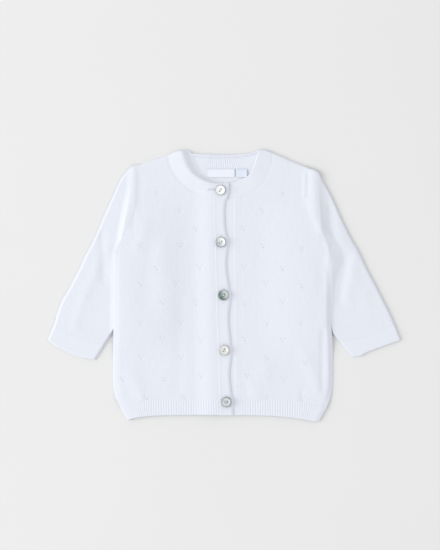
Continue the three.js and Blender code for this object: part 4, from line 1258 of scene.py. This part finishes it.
def thread_mesh():
    """Sewing thread between the two holes: three strands side by side."""
    t = np.linspace(0, 1, 15)
    spread = 2 * t - 1
    x = (BUTTON["spread"] - 0.2) * spread
    z = BUTTON["thickness"] - BUTTON["dish"] + 0.1 + 0.42 * np.sin(math.pi * t) - 0.5 * spread**6
    paths = [np.stack([x, strand * (1 - 0.3 * spread**2), z], axis=-1) for strand in (-0.36, 0.0, 0.36)]
    return strands("thread", paths, 0.24, sides=8)


# Each button's turn, its dark and pale tones, its lean and bias across the face, its rings, and how much
# painted rim shade it has; the third button's pale side is a painted highlight.
BUTTON_LOOK_KEYS = ("turn", "dark", "pale", "lean", "bias", "ring", "rim")
BUTTON_LOOKS = [
    (55, (0.90, 0.91, 0.92, 1), (1.0, 1.0, 1.0, 1), 0.1, 0.0, 0.0, 0.75),
    (40, (0.50, 0.54, 0.56, 1), (1.0, 1.0, 1.0, 1), 0.75, -0.05, 0.0, 0.85),
    (40, (0.11, 0.19, 0.17, 1), (0.82, 0.88, 0.86, 1), 0.6, -0.25, 0.0, 0.75),
    (70, (0.44, 0.42, 0.40, 1), (1.0, 1.0, 0.99, 1), 0.1, 0.0, 0.2, 0.5),
    (20, (0.22, 0.26, 0.27, 1), (0.86, 0.88, 0.89, 1), -0.1, -0.15, 0.9, 0.55),
]


def buttons():
    body = button_mesh()
    thread = thread_mesh()
    thread.materials.append(sewing_thread)
    looks = [dict(zip(BUTTON_LOOK_KEYS, row)) for row in BUTTON_LOOKS]
    for number, ((x, y), look) in enumerate(zip(BUTTONS, looks), 1):
        mesh = body.copy()
        mesh.materials.clear()
        mesh.materials.append(shell_button_material(f"shell_{number}", look, number))
        mesh.polygons.foreach_set("use_smooth", [True] * len(mesh.polygons))
        mesh.set_sharp_from_angle(angle=math.radians(35))
        for kind, data in (("face", mesh), ("thread", thread)):
            piece = bpy.data.objects.new(f"button_{number}_{kind}", data)
            bpy.context.scene.collection.objects.link(piece)
            piece.location = ((np.array([x, y, BUTTON_LEVEL]) + SHIFT) * MM).tolist()
            piece.rotation_euler = (0, 0, math.radians(look["turn"]))
            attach(piece, "root")
            if kind == "face":
                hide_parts(f"button_{number}")


buttons()


# Sewing: the buttonholes' whipped edges, and the label's ends

BUTTONHOLES = [
    {"at": (-12.3, 103.4), "turn": 0, "on": "neckband_right_cloth"},
    {"at": (-4.1, 48.2), "turn": 90, "on": "buttonhole_band_cloth"},
    {"at": (-1.3, -8.9), "turn": 90, "on": "buttonhole_band_cloth"},
    {"at": (-0.5, -68.2), "turn": 90, "on": "buttonhole_band_cloth"},
    {"at": (1.9, -124.0), "turn": 90, "on": "buttonhole_band_cloth"},
]
BUTTONHOLE = {"length": 11.6, "stitches": 17, "near": 0.14, "far": 1.1, "radius": 0.27, "arch": 0.22}


def sewn(name, paths, radius):
    mesh = strands(name, paths, radius)
    mesh.materials.append(sewing_thread)
    piece = bpy.data.objects.new(name, mesh)
    bpy.context.scene.collection.objects.link(piece)
    piece.location = (SHIFT * MM).tolist()
    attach(piece, "root")


def buttonhole(number, place):
    """Whipped stitches side by side along both lips of a slit."""
    turn = math.radians(place["turn"])
    forward = np.array([math.cos(turn), math.sin(turn)])
    sideways = np.array([-forward[1], forward[0]])
    paths = []
    for k in range(BUTTONHOLE["stitches"]):
        along = (k / (BUTTONHOLE["stitches"] - 1) - 0.5) * BUTTONHOLE["length"]
        for lip in (-1, 1):
            path = []
            for t in np.linspace(0, 1, 5):
                out = BUTTONHOLE["near"] + (BUTTONHOLE["far"] - BUTTONHOLE["near"]) * t
                x, y = place["at"] + forward * (along + 0.12 * lip) + sideways * out * lip
                level = level_at(place["on"], x, y)
                path.append((x, y, level + BUTTONHOLE["arch"] * (math.sin(math.pi * t) - 0.6)))
            paths.append(path)
    sewn(f"buttonhole_{number}", paths, BUTTONHOLE["radius"])


def label_stitches():
    """Short stitches that hold the label and the tab along the neck seam and at the label's ends."""
    paths = []
    high = SECOND_LAYER + LABEL_THICKNESS + 0.12
    for box in (LABEL, SIZE_TAB):
        y = box["high"] - 0.7
        for x in np.arange(box["left"] + 0.8, box["right"] - 1.0, 1.9):
            paths.append([(x + 1.2 * t, y, high + 0.1 * math.sin(math.pi * t)) for t in (0, 0.3, 0.7, 1)])
    for x in (LABEL["left"] + 0.6, LABEL["right"] - 0.6):
        for y in np.arange(LABEL["low"] + 0.8, LABEL["high"] - 1.2, 1.7):
            paths.append([(x, y + 1.0 * t, high + 0.16) for t in (0, 0.3, 0.7, 1)])
    sewn("label_stitches", paths, 0.13)


for hole_number, hole_place in enumerate(BUTTONHOLES, 1):
    buttonhole(hole_number, hole_place)
label_stitches()


# Floor, light and camera

def floor_piece():
    size = 4.0
    mesh = bpy.data.meshes.new("floor")
    corners = [(-size, -size, 0), (size, -size, 0), (size, size, 0), (-size, size, 0)]
    mesh.from_pydata(corners, [], [(0, 1, 2, 3)])
    material = bpy.data.materials.new("floor")
    nodes = Nodes(material)
    tone = nodes.between(nodes.noise(6.0, 2.0), (0.80, 0.80, 0.80, 1), (0.815, 0.815, 0.815, 1))
    nodes.shade(Base_Color=tone, Roughness=0.9, Specular_IOR_Level=0.1)
    mesh.materials.append(material)
    floor = bpy.data.objects.new("floor", mesh)
    floor.location = (0, 0, -0.1 * MM)
    bpy.context.scene.collection.objects.link(floor)


def light(name, location, size, power, aim=(0, 0, 0)):
    data = bpy.data.lights.new(name, "AREA")
    data.shape = "DISK"
    data.size = size
    data.energy = power
    lamp = bpy.data.objects.new(name, data)
    bpy.context.scene.collection.objects.link(lamp)
    lamp.location = location
    direction = np.array(aim) - np.array(location)
    lamp.rotation_euler = (
        0, math.acos(-direction[2] / np.linalg.norm(direction)), math.atan2(-direction[1], -direction[0])
    )


def studio():
    world = bpy.data.worlds.new("studio")
    world.use_nodes = True
    background = world.node_tree.nodes["Background"]
    background.inputs["Color"].default_value = (1.0, 1.0, 1.0, 1)
    background.inputs["Strength"].default_value = 0.80
    bpy.context.scene.world = world
    light("window", (-3.5, -0.05, 2.5), 3.2, 84)


def camera():
    """Straight above the garment, far away, with the photograph's frame of 440 by 550 pixels."""
    pixel = 1.08
    middle_x = (220 - 224.5) * pixel
    middle_y = (285.5 - 275) * pixel
    distance = 2.6
    frame_height = 550 * pixel * MM
    data = bpy.data.cameras.new("camera")
    data.sensor_width = 36
    data.lens = 36 * distance / frame_height
    data.clip_end = 20
    view = bpy.data.objects.new("camera", data)
    bpy.context.scene.collection.objects.link(view)
    view.location = ((middle_x + SHIFT[0]) * MM, (middle_y + SHIFT[1]) * MM, distance)
    bpy.context.scene.camera = view


floor_piece()
studio()
camera()
bpy.context.scene.view_settings.view_transform = "Standard"
